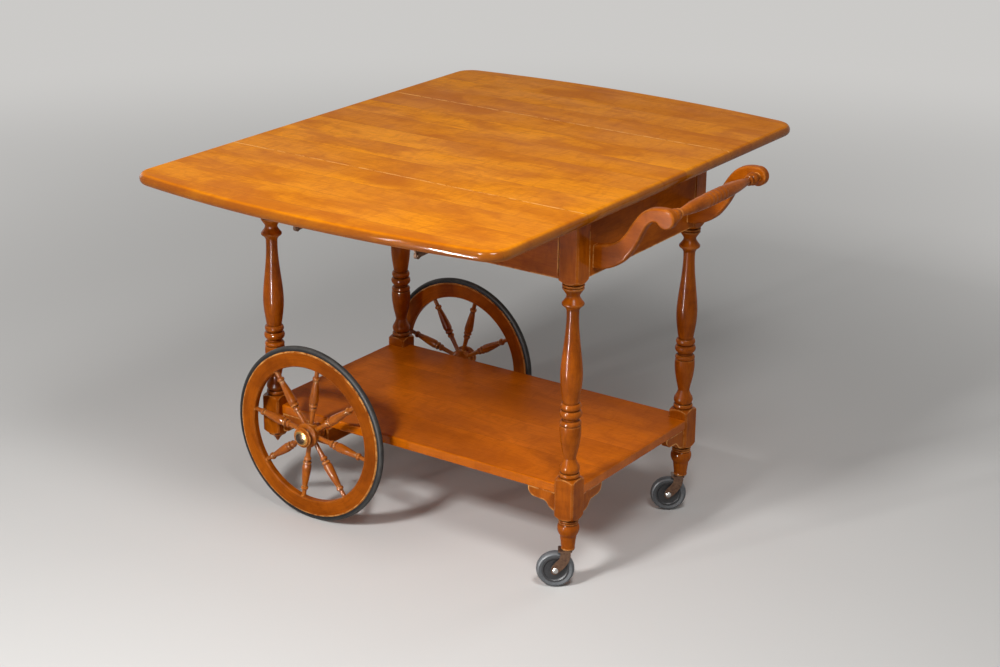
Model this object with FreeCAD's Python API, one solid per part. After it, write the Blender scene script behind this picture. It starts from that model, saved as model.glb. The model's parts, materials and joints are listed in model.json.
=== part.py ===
import FreeCAD
import Part
import math
import os

# Drop leaf tea trolley. Millimetres, +Z up, +X towards the handle and the casters, +Y across the top.
# Pieces are modelled about the middle of the top, then moved so that the origin is on the floor
# under the middle of the overall box.

V = FreeCAD.Vector
X_AXIS = V(1, 0, 0)
Y_AXIS = V(0, 1, 0)
Z_AXIS = V(0, 0, 1)
ORIGIN = V(0, 0, 0)

# ---------------------------------------------------------------- driving dimensions

# top
TOP_HEIGHT = 737.0          # floor to the top surface
TOP_LENGTH = 807.0          # along X
TOP_THICKNESS = 21.0
CENTRE_WIDTH = 500.0        # between the two hinge lines
LEAF_WIDTH = 302.0          # hinge line to the middle of the bowed edge
LEAF_BOW = 36.0             # how far the outer edge curves back at its ends
LEAF_CORNER_R = 44.0
LEAF_GAP = 0.8              # open joint between the centre board and a leaf
EDGE_FLAT = 0.4             # flat left between the two roundings of a board's edge
END_OVERHANG = 36.0         # top past the legs' faces at the ends
SIDE_OVERHANG = 24.5        # centre board past the legs' faces at the sides

# legs
LEG_STOCK = 41.0            # square section of a leg
LEG_CHAMFER = 3.0
LEG_BOTTOM = 77.0           # end of a caster leg above the floor
BLOCK_CORNER = 0.75         # turned radius that clears the stock's corners, as a share of its width
COLLAR_HEIGHT = 59.0        # rings, cove, bead and neck under the top block
WAIST_HEIGHT = 44.0         # rings between the vase and the urn
URN_HEIGHT = 63.5
BASE_HEIGHT = 37.0          # rings on top of the lower block
SHOULDER_HEIGHT = 8.0       # turned run-out of a square block
BLOCK_RISE = 19.5           # lower block above the shelf
BLOCK_DROP = 43.5           # lower block below the shelf
FINIAL_HEIGHT = 22.0

# rails
RAIL_HEIGHT = 116.0
RAIL_THICKNESS = 20.0
RAIL_SETBACK = 1.5          # rail face behind the leg face
TENON_THICKNESS = 8.0
TENON_LENGTH = 15.0
TENON_SHOULDER = 12.0       # rail height given up above and below a tenon
CLEAT_SIZE = 20.0
CLEAT_GAP = 2.0             # end of a cleat to a leg
CLEAT_SCREW_X = 240.0
CLEAT_SCREW_Y = 90.0
WOOD_FIT = 0.15             # clearance of a wood joint

# wheels
WHEEL_RADIUS = 179.0        # outside of the tyre
WHEEL_SETBACK = 125.0       # wheel axis inwards from the wheel-end legs' axis
WHEEL_CLEARANCE = 19.0      # leg face to rim
RIM_WIDTH = 15.0
RIM_DEPTH = 32.0            # across the rim, from its inside to its outside
RIM_CHAMFER = 2.0
TYRE_PROUD = 9.0            # tyre past the rim
TYRE_WIDTH = 12.0
TYRE_SHOULDER = 3.0         # straight side of the tyre past the rim
TYRE_SEAT_DEPTH = 3.0
TYRE_FIT = 0.1
SPOKE_COUNT = 8
NEAR_SPOKE_TURN = 8.7       # degrees that the first spoke leans from upright towards +X
FAR_SPOKE_TURN = 14.6
SPOKE_SWELL_D = 18.2        # thickest part of a spoke
SPOKE_TENON_D = 7.0
SPOKE_PEG_D = 8.6
SPOKE_SEAT = 9.0            # how far a spoke enters the hub and the rim
HUB_BARREL_R = 21.0
HUB_FLANGE_R = 25.0
HUB_NECK_R = 16.0
HUB_NOSE_R = 20.5
HUB_BARREL_HALF = 8.0
HUB_FLANGE_T = 6.5
HUB_GROOVE_T = 7.5
HUB_NOSE_T = 7.5
CAP_R = 13.8
CAP_RISE = 5.0
CAP_PLUG = 2.5
AXLE_D = 10.0
AXLE_FIT = 0.05             # radial running clearance
AXLE_END = 0.5              # axle past its nuts
AXLE_LET_IN = 1.5           # axle let into the underside of the shelf
BUSH_WALL = 2.0
SPACER_D = 15.0
SIDE_PLAY = 0.3             # end clearance of a turning wheel
NUT_D = 18.0
NUT_T = 5.0
NUT_INSET = 1.5             # nut's seat behind the hub's groove
NUT_CLEARANCE = 1.0

# shelf
SHELF_THICKNESS = 19.0
SHELF_END_SETBACK = 2.5     # shelf edge behind the legs' faces
SHELF_SIDE_SETBACK = 13.5
SHELF_EDGE_R = 3.0
BRACKET_LENGTH = 66.0
BRACKET_DROP = 36.5
BRACKET_THICKNESS = 14.0
BRACKET_INSET = 2.0         # bracket face behind the shelf edge
BEAM_WIDTH = 40.0
BEAM_DEPTH = 35.0
BEAM_CHAMFER = 4.0
BEAM_PROUD = 10.5           # beam end past the shelf edge
BEAM_SCREW_Y = 150.0
BEAM_SCREW_X = 12.0         # screws from the axle's middle plane

# casters
CASTER_R = 35.5
CASTER_CORE_R = 25.4
CASTER_WIDTH = 18.0
CASTER_CORE_WIDTH = 15.0
CASTER_TRAIL = 22.5
CASTER_TURN = 34.0          # degrees the trailing wheel is turned from -X towards -Y
FORK_PLATE = 2.2
FORK_GAP = 1.2              # wheel side to fork cheek
FORK_LEAD = 8.0             # fork plate ahead of the stem
FORK_TAIL = 18.0            # fork plate behind the stem
STEM_D = 10.0
STEM_LENGTH = 40.0
SOCKET_WALL = 1.5
SOCKET_FLANGE_D = 24.0
SOCKET_FLANGE_T = 1.4
SWIVEL_GAP = 0.3
CASTER_AXLE_D = 6.0
RIVET_HEAD_D = 11.0
RIVET_HEAD_T = 2.2

# handle
HANDLE_REACH = 103.5        # spindle axis past the end of the top
HANDLE_DROP = 10.0          # spindle axis below the top surface
SCROLL_R = 18.0
ARM_GAP = 10.5              # side of an arm to the leg's inner face
ARM_THICKNESS = 18.0
ARM_BASE_LOW = 13.0         # arm foot above the rail's lower edge
ARM_BASE_HEIGHT = 43.0
ARM_EDGE_R = 4.0
ARM_SCREW_BITE = 20.0       # screws into the arms' feet
SPINDLE_D = 26.4
SPINDLE_RING = 13.0         # five rings at the middle
SPINDLE_GROOVE = 1.2
SPINDLE_TENON_D = 14.0
SPINDLE_TENON = 10.0

# leaf hinges
HINGE_SPACING = 265.0
HINGE_LENGTH = 60.0
HINGE_PLATE_WIDTH = 25.0
HINGE_PLATE_T = 1.5
HINGE_SCREW_X = 20.0        # screws from the middle of a hinge
HINGE_PIN_END = 0.8         # pin past the knuckles
KNUCKLE_R = 3.0
HINGE_PIN_D = 2.8
HINGE_FIT = 0.1             # radial clearance of the hinge pins
HINGE_DROP = 0.3            # knuckles below the boards
KNUCKLE_GAP = 0.4
KNUCKLE_WEB = 3.8           # plates start this far from the pin

# leaf stays: an arm and a link make a parallelogram with the leaf
STAY_SPACING = 135.0        # stay from the middle of the top, along X
STAY_REACH = 150.0          # leaf hinge to the link, along the leaf
STAY_DROP = 56.0            # leaf hinge down to the arm's pivot
STAY_STANDOFF = 12.0        # arm's pivot out from the rail
STAY_EAR_DROP = 10.0        # link's pivot below the leaf
STAY_BAR_T = 3.0
STAY_BAR_W = 13.0
STAY_PIN_D = 5.8
STAY_FIT = 0.1
STAY_OPEN_FIT = 0.4         # clearance of the pivot that closes the parallelogram
STAY_BAR_GAP = 0.3
STAY_PIN_END = 0.8          # pin past the link
STAY_HEAD_D = 9.4
STAY_HEAD_T = 1.4
STAY_PLATE_LENGTH = 44.0
STAY_PLATE_WIDTH = 18.0
STAY_PLATE_T = 2.0
STAY_SCREW_EDGE = 7.0       # screws from the ends of a plate

# wood screws
SCREW_HEAD_D = 6.4
SCREW_D = 3.4
SCREW_LENGTH = 13.0
CLEAT_SCREW = 32.0
SCREW_FIT = 0.1

# ---------------------------------------------------------------- places worked out from them

TOP_UNDER = TOP_HEIGHT - TOP_THICKNESS
HALF_LENGTH = TOP_LENGTH / 2
HINGE_Y = CENTRE_WIDTH / 2
HINGE_Z = TOP_UNDER - KNUCKLE_R - HINGE_DROP
LEG_HALF = LEG_STOCK / 2
LEG_X = HALF_LENGTH - END_OVERHANG - LEG_HALF
LEG_Y = HINGE_Y - SIDE_OVERHANG - LEG_HALF
TURN_R = LEG_HALF * 0.995                   # largest turned radius of a leg
RAIL_BOTTOM = TOP_UNDER - RAIL_HEIGHT
RAIL_FACE_X = LEG_X + LEG_HALF - RAIL_SETBACK
RAIL_FACE_Y = LEG_Y + LEG_HALF - RAIL_SETBACK
RAIL_INNER_X = RAIL_FACE_X - RAIL_THICKNESS
RAIL_INNER_Y = RAIL_FACE_Y - RAIL_THICKNESS
RIM_OUTER_R = WHEEL_RADIUS - TYRE_PROUD
RIM_INNER_R = RIM_OUTER_R - RIM_DEPTH
WHEEL_X = WHEEL_SETBACK - LEG_X
WHEEL_Y = LEG_Y + LEG_HALF + WHEEL_CLEARANCE + RIM_WIDTH / 2
AXLE_Z = WHEEL_RADIUS
AXLE_R = AXLE_D / 2
SHELF_UNDER = AXLE_Z + AXLE_R - AXLE_LET_IN
SHELF_TOP = SHELF_UNDER + SHELF_THICKNESS
SHELF_END_X = LEG_X + LEG_HALF - SHELF_END_SETBACK
SHELF_EDGE_Y = LEG_Y + LEG_HALF - SHELF_SIDE_SETBACK
BLOCK_TOP = SHELF_TOP + BLOCK_RISE
BLOCK_BOTTOM = SHELF_UNDER - BLOCK_DROP
BEAM_END_Y = SHELF_EDGE_Y + BEAM_PROUD
FLANGE_END = HUB_BARREL_HALF + HUB_FLANGE_T  # places along the hub, from the rim's middle plane
GROOVE_END = FLANGE_END + HUB_GROOVE_T
HUB_OUTER = GROOVE_END + HUB_NOSE_T
HUB_INNER = WHEEL_CLEARANCE + RIM_WIDTH / 2
NUT_START = GROOVE_END - NUT_INSET
BUSH_R = AXLE_R + AXLE_FIT + BUSH_WALL
STAY_PIVOT_Y = RAIL_FACE_Y + STAY_STANDOFF
STAY_PIVOT_Z = HINGE_Z - STAY_DROP
LEAF_PIVOT_Y = HINGE_Y + STAY_REACH
LEAF_PIVOT_Z = TOP_UNDER - STAY_EAR_DROP
ELBOW_Y = LEAF_PIVOT_Y + STAY_PIVOT_Y - HINGE_Y
ELBOW_Z = LEAF_PIVOT_Z + STAY_PIVOT_Z - HINGE_Z
ARM_Y = LEG_Y - LEG_HALF - ARM_GAP - ARM_THICKNESS / 2
HANDLE_AXIS_X = HALF_LENGTH + HANDLE_REACH
HANDLE_AXIS_Z = TOP_HEIGHT - HANDLE_DROP
BOX_MIDDLE_X = (HANDLE_AXIS_X + SCROLL_R - HALF_LENGTH) / 2


# ---------------------------------------------------------------- helpers

def box(x0, x1, y0, y1, z0, z1):
    """A block between two corners."""
    return Part.makeBox(x1 - x0, y1 - y0, z1 - z0, V(x0, y0, z0))


def rod(radius, start, end):
    """A round bar between two points."""
    direction = end - start
    return Part.makeCylinder(radius, direction.Length, start, direction)


def tube(outer, inner, start, end):
    """A round bar with a hole along it."""
    return rod(outer, start, end).cut(rod(inner, start, end))


def far_side(shape):
    """The mirror image of a near-side shape on the far side."""
    return shape.mirror(ORIGIN, Y_AXIS)


def other_end(shape):
    """The mirror image of a shape at the other end of the trolley."""
    return shape.mirror(ORIGIN, X_AXIS)


def profile_edges(stations):
    """Edges through (height, radius) stations. A station is a pair for a straight run,
    ("arc", middle, end) for an arc, or ("curve", pair, pair, ...) for a smooth curve."""
    edges = []
    height, radius = stations[0]
    last = V(radius, 0, height)
    for station in stations[1:]:
        if station[0] == "arc":
            middle, end = [V(r, 0, z) for z, r in station[1:]]
            edges.append(Part.Arc(last, middle, end).toShape())
        elif station[0] == "curve":
            points = [last] + [V(r, 0, z) for z, r in station[1:]]
            curve = Part.BSplineCurve()
            curve.interpolate(points)
            edges.append(curve.toShape())
            end = points[-1]
        else:
            end = V(station[1], 0, station[0])
            edges.append(Part.LineSegment(last, end).toShape())
        last = end
    return edges


def turning(stations):
    """A solid turned about Z from its profile, closed along the axis."""
    edges = profile_edges(stations)
    first = V(0, 0, stations[0][0])
    start = edges[0].Vertexes[0].Point
    finish = edges[-1].Vertexes[-1].Point
    last = V(0, 0, finish.z)
    loop = [Part.LineSegment(first, start).toShape()] if start.x > 0 else []
    loop += edges
    if finish.x > 0:
        loop.append(Part.LineSegment(finish, last).toShape())
    loop.append(Part.LineSegment(last, first).toShape())
    face = Part.Face(Part.Wire(Part.__sortEdges__(loop)))
    return face.revolve(ORIGIN, Z_AXIS, 360)


def along(shape, direction, place):
    """A shape turned about Z, laid along a direction and moved to its place."""
    moved = shape.copy()
    moved.Placement = FreeCAD.Placement(place, FreeCAD.Rotation(Z_AXIS, direction))
    return moved


def moulding(start, length, radius, shape):
    """Stations of a shape that is given as shares of its length and of its largest radius."""
    def place(pair):
        return (start + pair[0] * length, pair[1] * radius)

    stations = []
    for station in shape:
        if station[0] in ("arc", "curve"):
            stations.append((station[0],) + tuple(place(pair) for pair in station[1:]))
        else:
            stations.append(place(station))
    return stations


def dome(base, radius, rise):
    """The arc station of a dome on a round end, from its rim to its crown on the axis."""
    ball = (radius ** 2 + rise ** 2) / (2 * rise)
    half = math.asin(radius / ball) / 2
    return ("arc", (base + rise - ball + ball * math.cos(half), ball * math.sin(half)), (base + rise, 0.0))


def screw(place, direction, length=SCREW_LENGTH, grow=0.0):
    """A countersunk wood screw with its head at a place; grow makes the hole that it sits in."""
    head = SCREW_HEAD_D / 2 + grow
    shank = SCREW_D / 2 + grow
    stations = [(0, head), (head - shank, shank), (length - 2 * shank + grow, shank), (length + grow, 0)]
    return along(turning(stations), direction, place)


def fasten(shapes, screws):
    """Cuts every screw's hole from each shape that it passes through."""
    holes = Part.makeCompound([screw(*at, grow=SCREW_FIT) for at in screws])
    return [shape.cut(holes) for shape in shapes]


def biggest_solid(shape):
    """The one solid of a boolean's result."""
    return max(shape.Solids, key=lambda solid: solid.Volume)


# ---------------------------------------------------------------- top

def top_center():
    """The fixed board, with half-round ends and square hinge edges."""
    half_width = HINGE_Y - LEAF_GAP / 2
    board = box(-HALF_LENGTH, HALF_LENGTH, -half_width, half_width, TOP_UNDER, TOP_HEIGHT)
    ends = [e for e in board.Edges if abs(abs(e.CenterOfMass.x) - HALF_LENGTH) < 0.01
            and abs(e.CenterOfMass.y) < 0.01]
    return board.makeFillet((TOP_THICKNESS - EDGE_FLAT) / 2, ends)


def near_leaf():
    """A leaf: square at the hinge, round corners, a bowed outer edge, half-round all round."""
    inner = -(HINGE_Y + LEAF_GAP / 2)
    outer = -(HINGE_Y + LEAF_WIDTH)
    end = outer + LEAF_BOW
    corners = [V(-HALF_LENGTH, inner, TOP_UNDER), V(-HALF_LENGTH, end, TOP_UNDER),
               V(HALF_LENGTH, end, TOP_UNDER), V(HALF_LENGTH, inner, TOP_UNDER)]
    edges = [Part.LineSegment(corners[0], corners[1]).toShape(),
             Part.Arc(corners[1], V(0, outer, TOP_UNDER), corners[2]).toShape(),
             Part.LineSegment(corners[2], corners[3]).toShape(),
             Part.LineSegment(corners[3], corners[0]).toShape()]
    board = Part.Face(Part.Wire(edges)).extrude(V(0, 0, TOP_THICKNESS))
    uprights = [e for e in board.Edges if abs(e.Length - TOP_THICKNESS) < 0.01
                and e.CenterOfMass.y < inner - 1]
    board = board.makeFillet(LEAF_CORNER_R, uprights)
    rounded = [e for e in board.Edges if e.BoundBox.ZLength < 0.01 and e.CenterOfMass.y < inner - 1]
    return board.makeFillet((TOP_THICKNESS - EDGE_FLAT) / 2, rounded)


# ---------------------------------------------------------------- legs and rails

def collar():
    """Two rings, a cove, a bead and the neck under a leg's top block."""
    return moulding(RAIL_BOTTOM, -COLLAR_HEIGHT, TURN_R, [
        ("curve", (0.05, 1.28), (0.144, 0.96)), (0.161, 0.892),
        ("arc", (0.208, 1.0), (0.254, 0.892)), ("arc", (0.3, 0.98), (0.347, 0.892)),
        ("curve", (0.424, 0.76), (0.542, 0.593), (0.627, 0.69), (0.737, 0.931)),
        ("arc", (0.788, 1.0), (0.847, 0.912)), ("curve", (0.915, 0.69), (1.0, 0.564))])


def vase(top, bottom):
    """The long swelling between a leg's neck and its waist."""
    return moulding(top, bottom - top, TURN_R, [
        ("curve", (0.145, 0.569), (0.359, 0.735), (0.573, 0.941), (0.728, 1.0), (0.884, 0.873),
         (1.0, 0.725))])


def waist(top):
    """The rings and the groove under the vase."""
    return moulding(top, -WAIST_HEIGHT, TURN_R, [
        (0.023, 0.824), ("arc", (0.148, 0.922), (0.273, 0.824)), (0.295, 0.784), (0.33, 0.892),
        ("arc", (0.472, 0.995), (0.614, 0.882)), (0.682, 0.725), (0.75, 0.725),
        ("arc", (0.852, 0.941), (0.943, 0.922)), (0.97, 0.873), (1.0, 0.941)])


def urn(top):
    """The urn under the waist."""
    return moulding(top, -URN_HEIGHT, TURN_R, [
        ("curve", (0.197, 0.966), (0.496, 0.873), (0.717, 0.745), (0.89, 0.618), (1.0, 0.549))])


def base_rings(top):
    """The cove and the rings on top of a leg's lower block."""
    return moulding(top, -BASE_HEIGHT, TURN_R, [
        ("curve", (0.162, 0.637), (0.365, 0.824)), ("arc", (0.54, 0.912), (0.716, 0.833)), (0.757, 0.775),
        (0.784, 0.873), ("arc", (0.89, 0.931), (1.0, 0.873))])


def upper_turning():
    """A leg's profile from its top block down to the end of its lower block."""
    corner = LEG_STOCK * BLOCK_CORNER
    neck = RAIL_BOTTOM - COLLAR_HEIGHT
    urn_foot = BLOCK_TOP + BASE_HEIGHT
    urn_top = urn_foot + URN_HEIGHT
    waist_top = urn_top + WAIST_HEIGHT
    lower_block = [
        ("curve", (BLOCK_TOP - SHOULDER_HEIGHT / 2, corner * 0.82), (BLOCK_TOP - SHOULDER_HEIGHT, corner)),
        (BLOCK_BOTTOM + SHOULDER_HEIGHT * 1.5, corner),
        ("curve", (BLOCK_BOTTOM + SHOULDER_HEIGHT * 0.6, corner * 0.84), (BLOCK_BOTTOM, TURN_R * 0.94))]
    return ([(TOP_UNDER, corner), (RAIL_BOTTOM, corner)] + collar() + vase(neck, waist_top)
            + waist(waist_top) + urn(urn_top) + base_rings(urn_foot) + lower_block)


def caster_foot():
    """The turning under the lower block of a caster leg: two rings, a bulb and a tapered ankle."""
    return moulding(BLOCK_BOTTOM, LEG_BOTTOM - BLOCK_BOTTOM, TURN_R, [
        (0.02, 0.853), ("arc", (0.06, 0.931), (0.1, 0.853)), ("arc", (0.138, 0.912), (0.175, 0.853)),
        ("curve", (0.25, 0.98), (0.367, 1.0), (0.483, 0.892), (0.55, 0.775)), (0.567, 0.755),
        (0.933, 0.623), (0.967, 0.647), (1.0, 0.623)])


def drop_finial():
    """The pointed drop under the lower block of a wheel-end leg."""
    return moulding(BLOCK_BOTTOM, -FINIAL_HEIGHT, TURN_R, [
        (0.04, 0.804), ("arc", (0.12, 0.87), (0.2, 0.804)), (0.22, 0.667),
        ("curve", (0.45, 0.42), (0.8, 0.167)), (1.0, 0.0)])


def leg_stock():
    """The square stock of a leg with its chamfered corners."""
    bar = box(-LEG_HALF, LEG_HALF, -LEG_HALF, LEG_HALF, 0, TOP_UNDER)
    uprights = [e for e in bar.Edges if abs(e.Length - TOP_UNDER) < 0.01]
    return bar.makeChamfer(LEG_CHAMFER, uprights)


def turned_leg(foot):
    """A leg about Z, with one of the two feet."""
    return biggest_solid(turning(upper_turning() + foot).common(leg_stock()))


def side_rail():
    """The near side rail, between the legs along X, with its two tenons."""
    end = LEG_X - LEG_HALF
    rail = box(-end, end, -RAIL_FACE_Y, -RAIL_INNER_Y, RAIL_BOTTOM, TOP_UNDER)
    middle = (RAIL_FACE_Y + RAIL_INNER_Y) / 2
    tenon = box(-end - TENON_LENGTH, end + TENON_LENGTH, -middle - TENON_THICKNESS / 2,
                -middle + TENON_THICKNESS / 2, RAIL_BOTTOM + TENON_SHOULDER, TOP_UNDER - TENON_SHOULDER)
    return rail.fuse(tenon).removeSplitter()


def end_rail():
    """The handle end rail, between the legs along Y, with its two tenons."""
    end = LEG_Y - LEG_HALF
    rail = box(RAIL_INNER_X, RAIL_FACE_X, -end, end, RAIL_BOTTOM, TOP_UNDER)
    middle = (RAIL_FACE_X + RAIL_INNER_X) / 2
    tenon = box(middle - TENON_THICKNESS / 2, middle + TENON_THICKNESS / 2, -end - TENON_LENGTH,
                end + TENON_LENGTH, RAIL_BOTTOM + TENON_SHOULDER, TOP_UNDER - TENON_SHOULDER)
    return rail.fuse(tenon).removeSplitter()


def mortise_cutter():
    """The space that the rail tenons take in the near handle leg, about the leg's axis."""
    side = RAIL_FACE_Y - RAIL_THICKNESS / 2 - LEG_Y
    end = RAIL_FACE_X - RAIL_THICKNESS / 2 - LEG_X
    half = TENON_THICKNESS / 2 + WOOD_FIT
    depth = TENON_LENGTH + WOOD_FIT
    low = RAIL_BOTTOM + TENON_SHOULDER - WOOD_FIT
    high = TOP_UNDER - TENON_SHOULDER + WOOD_FIT
    for_side = box(-LEG_HALF - 1, -LEG_HALF + depth, -side - half, -side + half, low, high)
    for_end = box(end - half, end + half, LEG_HALF - depth, LEG_HALF + 1, low, high)
    return for_side.fuse(for_end)


def top_cleats():
    """Four strips inside the rails that hold the top by screws."""
    long_half = LEG_X - LEG_HALF - CLEAT_GAP
    short_half = LEG_Y - LEG_HALF - CLEAT_GAP
    side = box(-long_half, long_half, -RAIL_INNER_Y, -RAIL_INNER_Y + CLEAT_SIZE,
               TOP_UNDER - CLEAT_SIZE, TOP_UNDER)
    end = box(RAIL_INNER_X - CLEAT_SIZE, RAIL_INNER_X, -short_half + CLEAT_SIZE, short_half - CLEAT_SIZE,
              TOP_UNDER - CLEAT_SIZE, TOP_UNDER)
    return [side, far_side(side), end, other_end(end)]


def cleat_screws():
    """Screws up through the cleats into the centre board."""
    z = TOP_UNDER - CLEAT_SIZE
    side_y = RAIL_INNER_Y - CLEAT_SIZE / 2
    end_x = RAIL_INNER_X - CLEAT_SIZE / 2
    side = [(V(x, sign * side_y, z), Z_AXIS, CLEAT_SCREW)
            for x in (-CLEAT_SCREW_X, 0, CLEAT_SCREW_X) for sign in (-1, 1)]
    end = [(V(sign * end_x, y, z), Z_AXIS, CLEAT_SCREW)
           for y in (-CLEAT_SCREW_Y, CLEAT_SCREW_Y) for sign in (-1, 1)]
    return side + end


# ---------------------------------------------------------------- shelf and axle beam

def axle_groove():
    """The space that the axle takes, open towards the shelf's underside."""
    radius = AXLE_R + AXLE_FIT
    end = BEAM_END_Y + 1
    bore = rod(radius, V(WHEEL_X, -end, AXLE_Z), V(WHEEL_X, end, AXLE_Z))
    return bore.fuse(box(WHEEL_X - radius, WHEEL_X + radius, -end, end, AXLE_Z, SHELF_UNDER))


def shelf():
    """The lower shelf, notched round the four legs, with a shallow groove for the axle."""
    board = box(-SHELF_END_X, SHELF_END_X, -SHELF_EDGE_Y, SHELF_EDGE_Y, SHELF_UNDER, SHELF_TOP)
    flat = [e for e in board.Edges if e.BoundBox.ZLength < 0.01]
    board = board.makeFillet(SHELF_EDGE_R, flat)
    notch = LEG_HALF + WOOD_FIT
    low = SHELF_UNDER - 1
    high = SHELF_TOP + 1
    for x in (-LEG_X, LEG_X):
        for y in (-LEG_Y, LEG_Y):
            board = board.cut(box(x - notch, x + notch, y - notch, y + notch, low, high))
    return biggest_solid(board.cut(axle_groove()))


def scroll_bracket():
    """An ogee bracket in the XZ plane: its upright back at x = 0, its top under the shelf."""
    def at(out, down):
        return V(-out * BRACKET_LENGTH, 0, -down * BRACKET_DROP)

    ogee = Part.BSplineCurve()
    ogee.interpolate([at(0.52, 0.55), at(0.38, 0.65), at(0.27, 0.88), at(0.17, 0.97), at(0.0, 1.0)])
    edges = [Part.LineSegment(at(0, 0), at(1, 0)).toShape(),
             Part.LineSegment(at(1, 0), at(1, 0.12)).toShape(),
             Part.Arc(at(1, 0.12), at(0.94, 0.37), at(0.82, 0.51)).toShape(),
             Part.LineSegment(at(0.82, 0.51), at(0.52, 0.55)).toShape(),
             ogee.toShape(),
             Part.LineSegment(at(0, 1), at(0, 0)).toShape()]
    return Part.Face(Part.Wire(edges)).extrude(V(0, BRACKET_THICKNESS, 0))


def shelf_brackets():
    """The eight brackets, two at each leg."""
    bracket = scroll_bracket()
    side = bracket.copy()
    side.translate(V(LEG_X - LEG_HALF, -SHELF_EDGE_Y + BRACKET_INSET, SHELF_UNDER))
    end = bracket.copy()
    end.rotate(ORIGIN, Z_AXIS, -90)
    end.translate(V(SHELF_END_X - BRACKET_INSET - BRACKET_THICKNESS, -(LEG_Y - LEG_HALF), SHELF_UNDER))
    near = [side, end, other_end(side), other_end(end)]
    return near + [far_side(piece) for piece in near]


def axle_beam():
    """The beam under the shelf, with the groove that holds the axle."""
    low = SHELF_UNDER - BEAM_DEPTH
    half = BEAM_WIDTH / 2
    beam = box(WHEEL_X - half, WHEEL_X + half, -BEAM_END_Y, BEAM_END_Y, low, SHELF_UNDER)
    lower = [e for e in beam.Edges if abs(e.CenterOfMass.z - low) < 0.01]
    beam = beam.makeChamfer(BEAM_CHAMFER, lower)
    return biggest_solid(beam.cut(axle_groove()))


def beam_screws():
    """Screws up through the beam into the shelf, beside the axle."""
    z = SHELF_UNDER - BEAM_DEPTH
    length = BEAM_DEPTH + SHELF_THICKNESS * 0.6
    return [(V(WHEEL_X + x, y, z), Z_AXIS, length)
            for x in (-BEAM_SCREW_X, BEAM_SCREW_X) for y in (-BEAM_SCREW_Y, 0, BEAM_SCREW_Y)]


# ---------------------------------------------------------------- spoked wheels, about Z at the origin

def nut_recess():
    """Radius of the hole in the hub's nose."""
    return NUT_D / 2 + NUT_CLEARANCE


def hub():
    """The turned hub; +Z is the outer side, z = 0 the middle plane of the rim."""
    barrel = HUB_BARREL_HALF
    body = turning(
        [(-HUB_INNER, HUB_NECK_R * 0.9), (-HUB_INNER + 1.5, HUB_NECK_R)]
        + moulding(-HUB_INNER, HUB_INNER - barrel, HUB_BARREL_R, [
            ("curve", (0.55, 0.77), (0.98, 0.9)), (1.0, 0.95), ("arc", (1.05, 0.99), (1.1, 1.0))])
        + [(barrel - 1.0, HUB_BARREL_R)]
        + moulding(barrel, HUB_FLANGE_T, HUB_FLANGE_R, [(0.0, 0.9), ("arc", (0.5, 1.0), (1.0, 0.9))])
        + moulding(FLANGE_END, HUB_GROOVE_T, HUB_NECK_R, [
            ("curve", (0.25, 1.15), (0.55, 1.0), (0.9, 1.08)), (1.0, 1.14)])
        + moulding(GROOVE_END, HUB_NOSE_T, HUB_NOSE_R, [
            ("arc", (0.28, 1.0), (0.56, 0.92)), (0.62, 0.86), ("arc", (0.85, 0.83), (1.0, 0.74))])
        + [(HUB_OUTER, CAP_R), (HUB_OUTER - 1.0, CAP_R)])
    body = body.cut(rod(BUSH_R + AXLE_FIT, V(0, 0, -HUB_INNER - 1), V(0, 0, HUB_OUTER + 1)))
    body = body.cut(rod(nut_recess(), V(0, 0, NUT_START), V(0, 0, HUB_OUTER + 1)))
    floor = HUB_BARREL_R - SPOKE_SEAT - AXLE_FIT
    for direction in spoke_directions():
        body = body.cut(rod(SPOKE_TENON_D / 2 + AXLE_FIT, direction * floor,
                            direction * (HUB_BARREL_R + 5)))
    return biggest_solid(body)


def bush():
    """The steel sleeve that runs on the axle."""
    return tube(BUSH_R, AXLE_R + AXLE_FIT, V(0, 0, -HUB_INNER), V(0, 0, NUT_START - SIDE_PLAY))


def hub_cap():
    """The domed button that closes the hub."""
    plug = nut_recess() - AXLE_FIT
    seat = HUB_OUTER + AXLE_FIT
    return turning([(HUB_OUTER - CAP_PLUG, plug), (seat, plug), (seat, CAP_R), dome(seat, CAP_R, CAP_RISE)])


def spoke_directions():
    """Unit vectors of the spokes in the wheel's plane, the first of them upright."""
    angles = [math.radians(90 + 360 * i / SPOKE_COUNT) for i in range(SPOKE_COUNT)]
    return [V(math.cos(a), math.sin(a), 0) for a in angles]


def spoke():
    """A turned spoke about Z, standing at its real distance from the axle."""
    shown = RIM_INNER_R - HUB_BARREL_R
    tenon = SPOKE_TENON_D / 2
    peg = SPOKE_PEG_D / 2
    return turning(
        [(HUB_BARREL_R - SPOKE_SEAT, tenon), (HUB_BARREL_R, tenon)]
        + moulding(HUB_BARREL_R, shown, SPOKE_SWELL_D / 2, [
            (0.003, 0.5), ("curve", (0.12, 0.5), (0.255, 0.56)), (0.262, 0.68),
            ("arc", (0.29, 0.8), (0.318, 0.66)), (0.325, 0.6), (0.332, 0.62),
            ("arc", (0.362, 0.95), (0.392, 0.78)), (0.397, 0.82),
            ("curve", (0.44, 1.0), (0.53, 0.95), (0.66, 0.8), (0.79, 0.6)), (0.797, 0.54),
            ("arc", (0.806, 0.62), (0.815, 0.54)), (0.82, 0.56), ("arc", (0.852, 0.8), (0.884, 0.56))])
        + [(HUB_BARREL_R + shown * 0.893, peg), (RIM_INNER_R + SPOKE_SEAT, peg)])


def spokes():
    """All spokes of one wheel."""
    return [along(spoke(), direction, ORIGIN) for direction in spoke_directions()]


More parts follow.
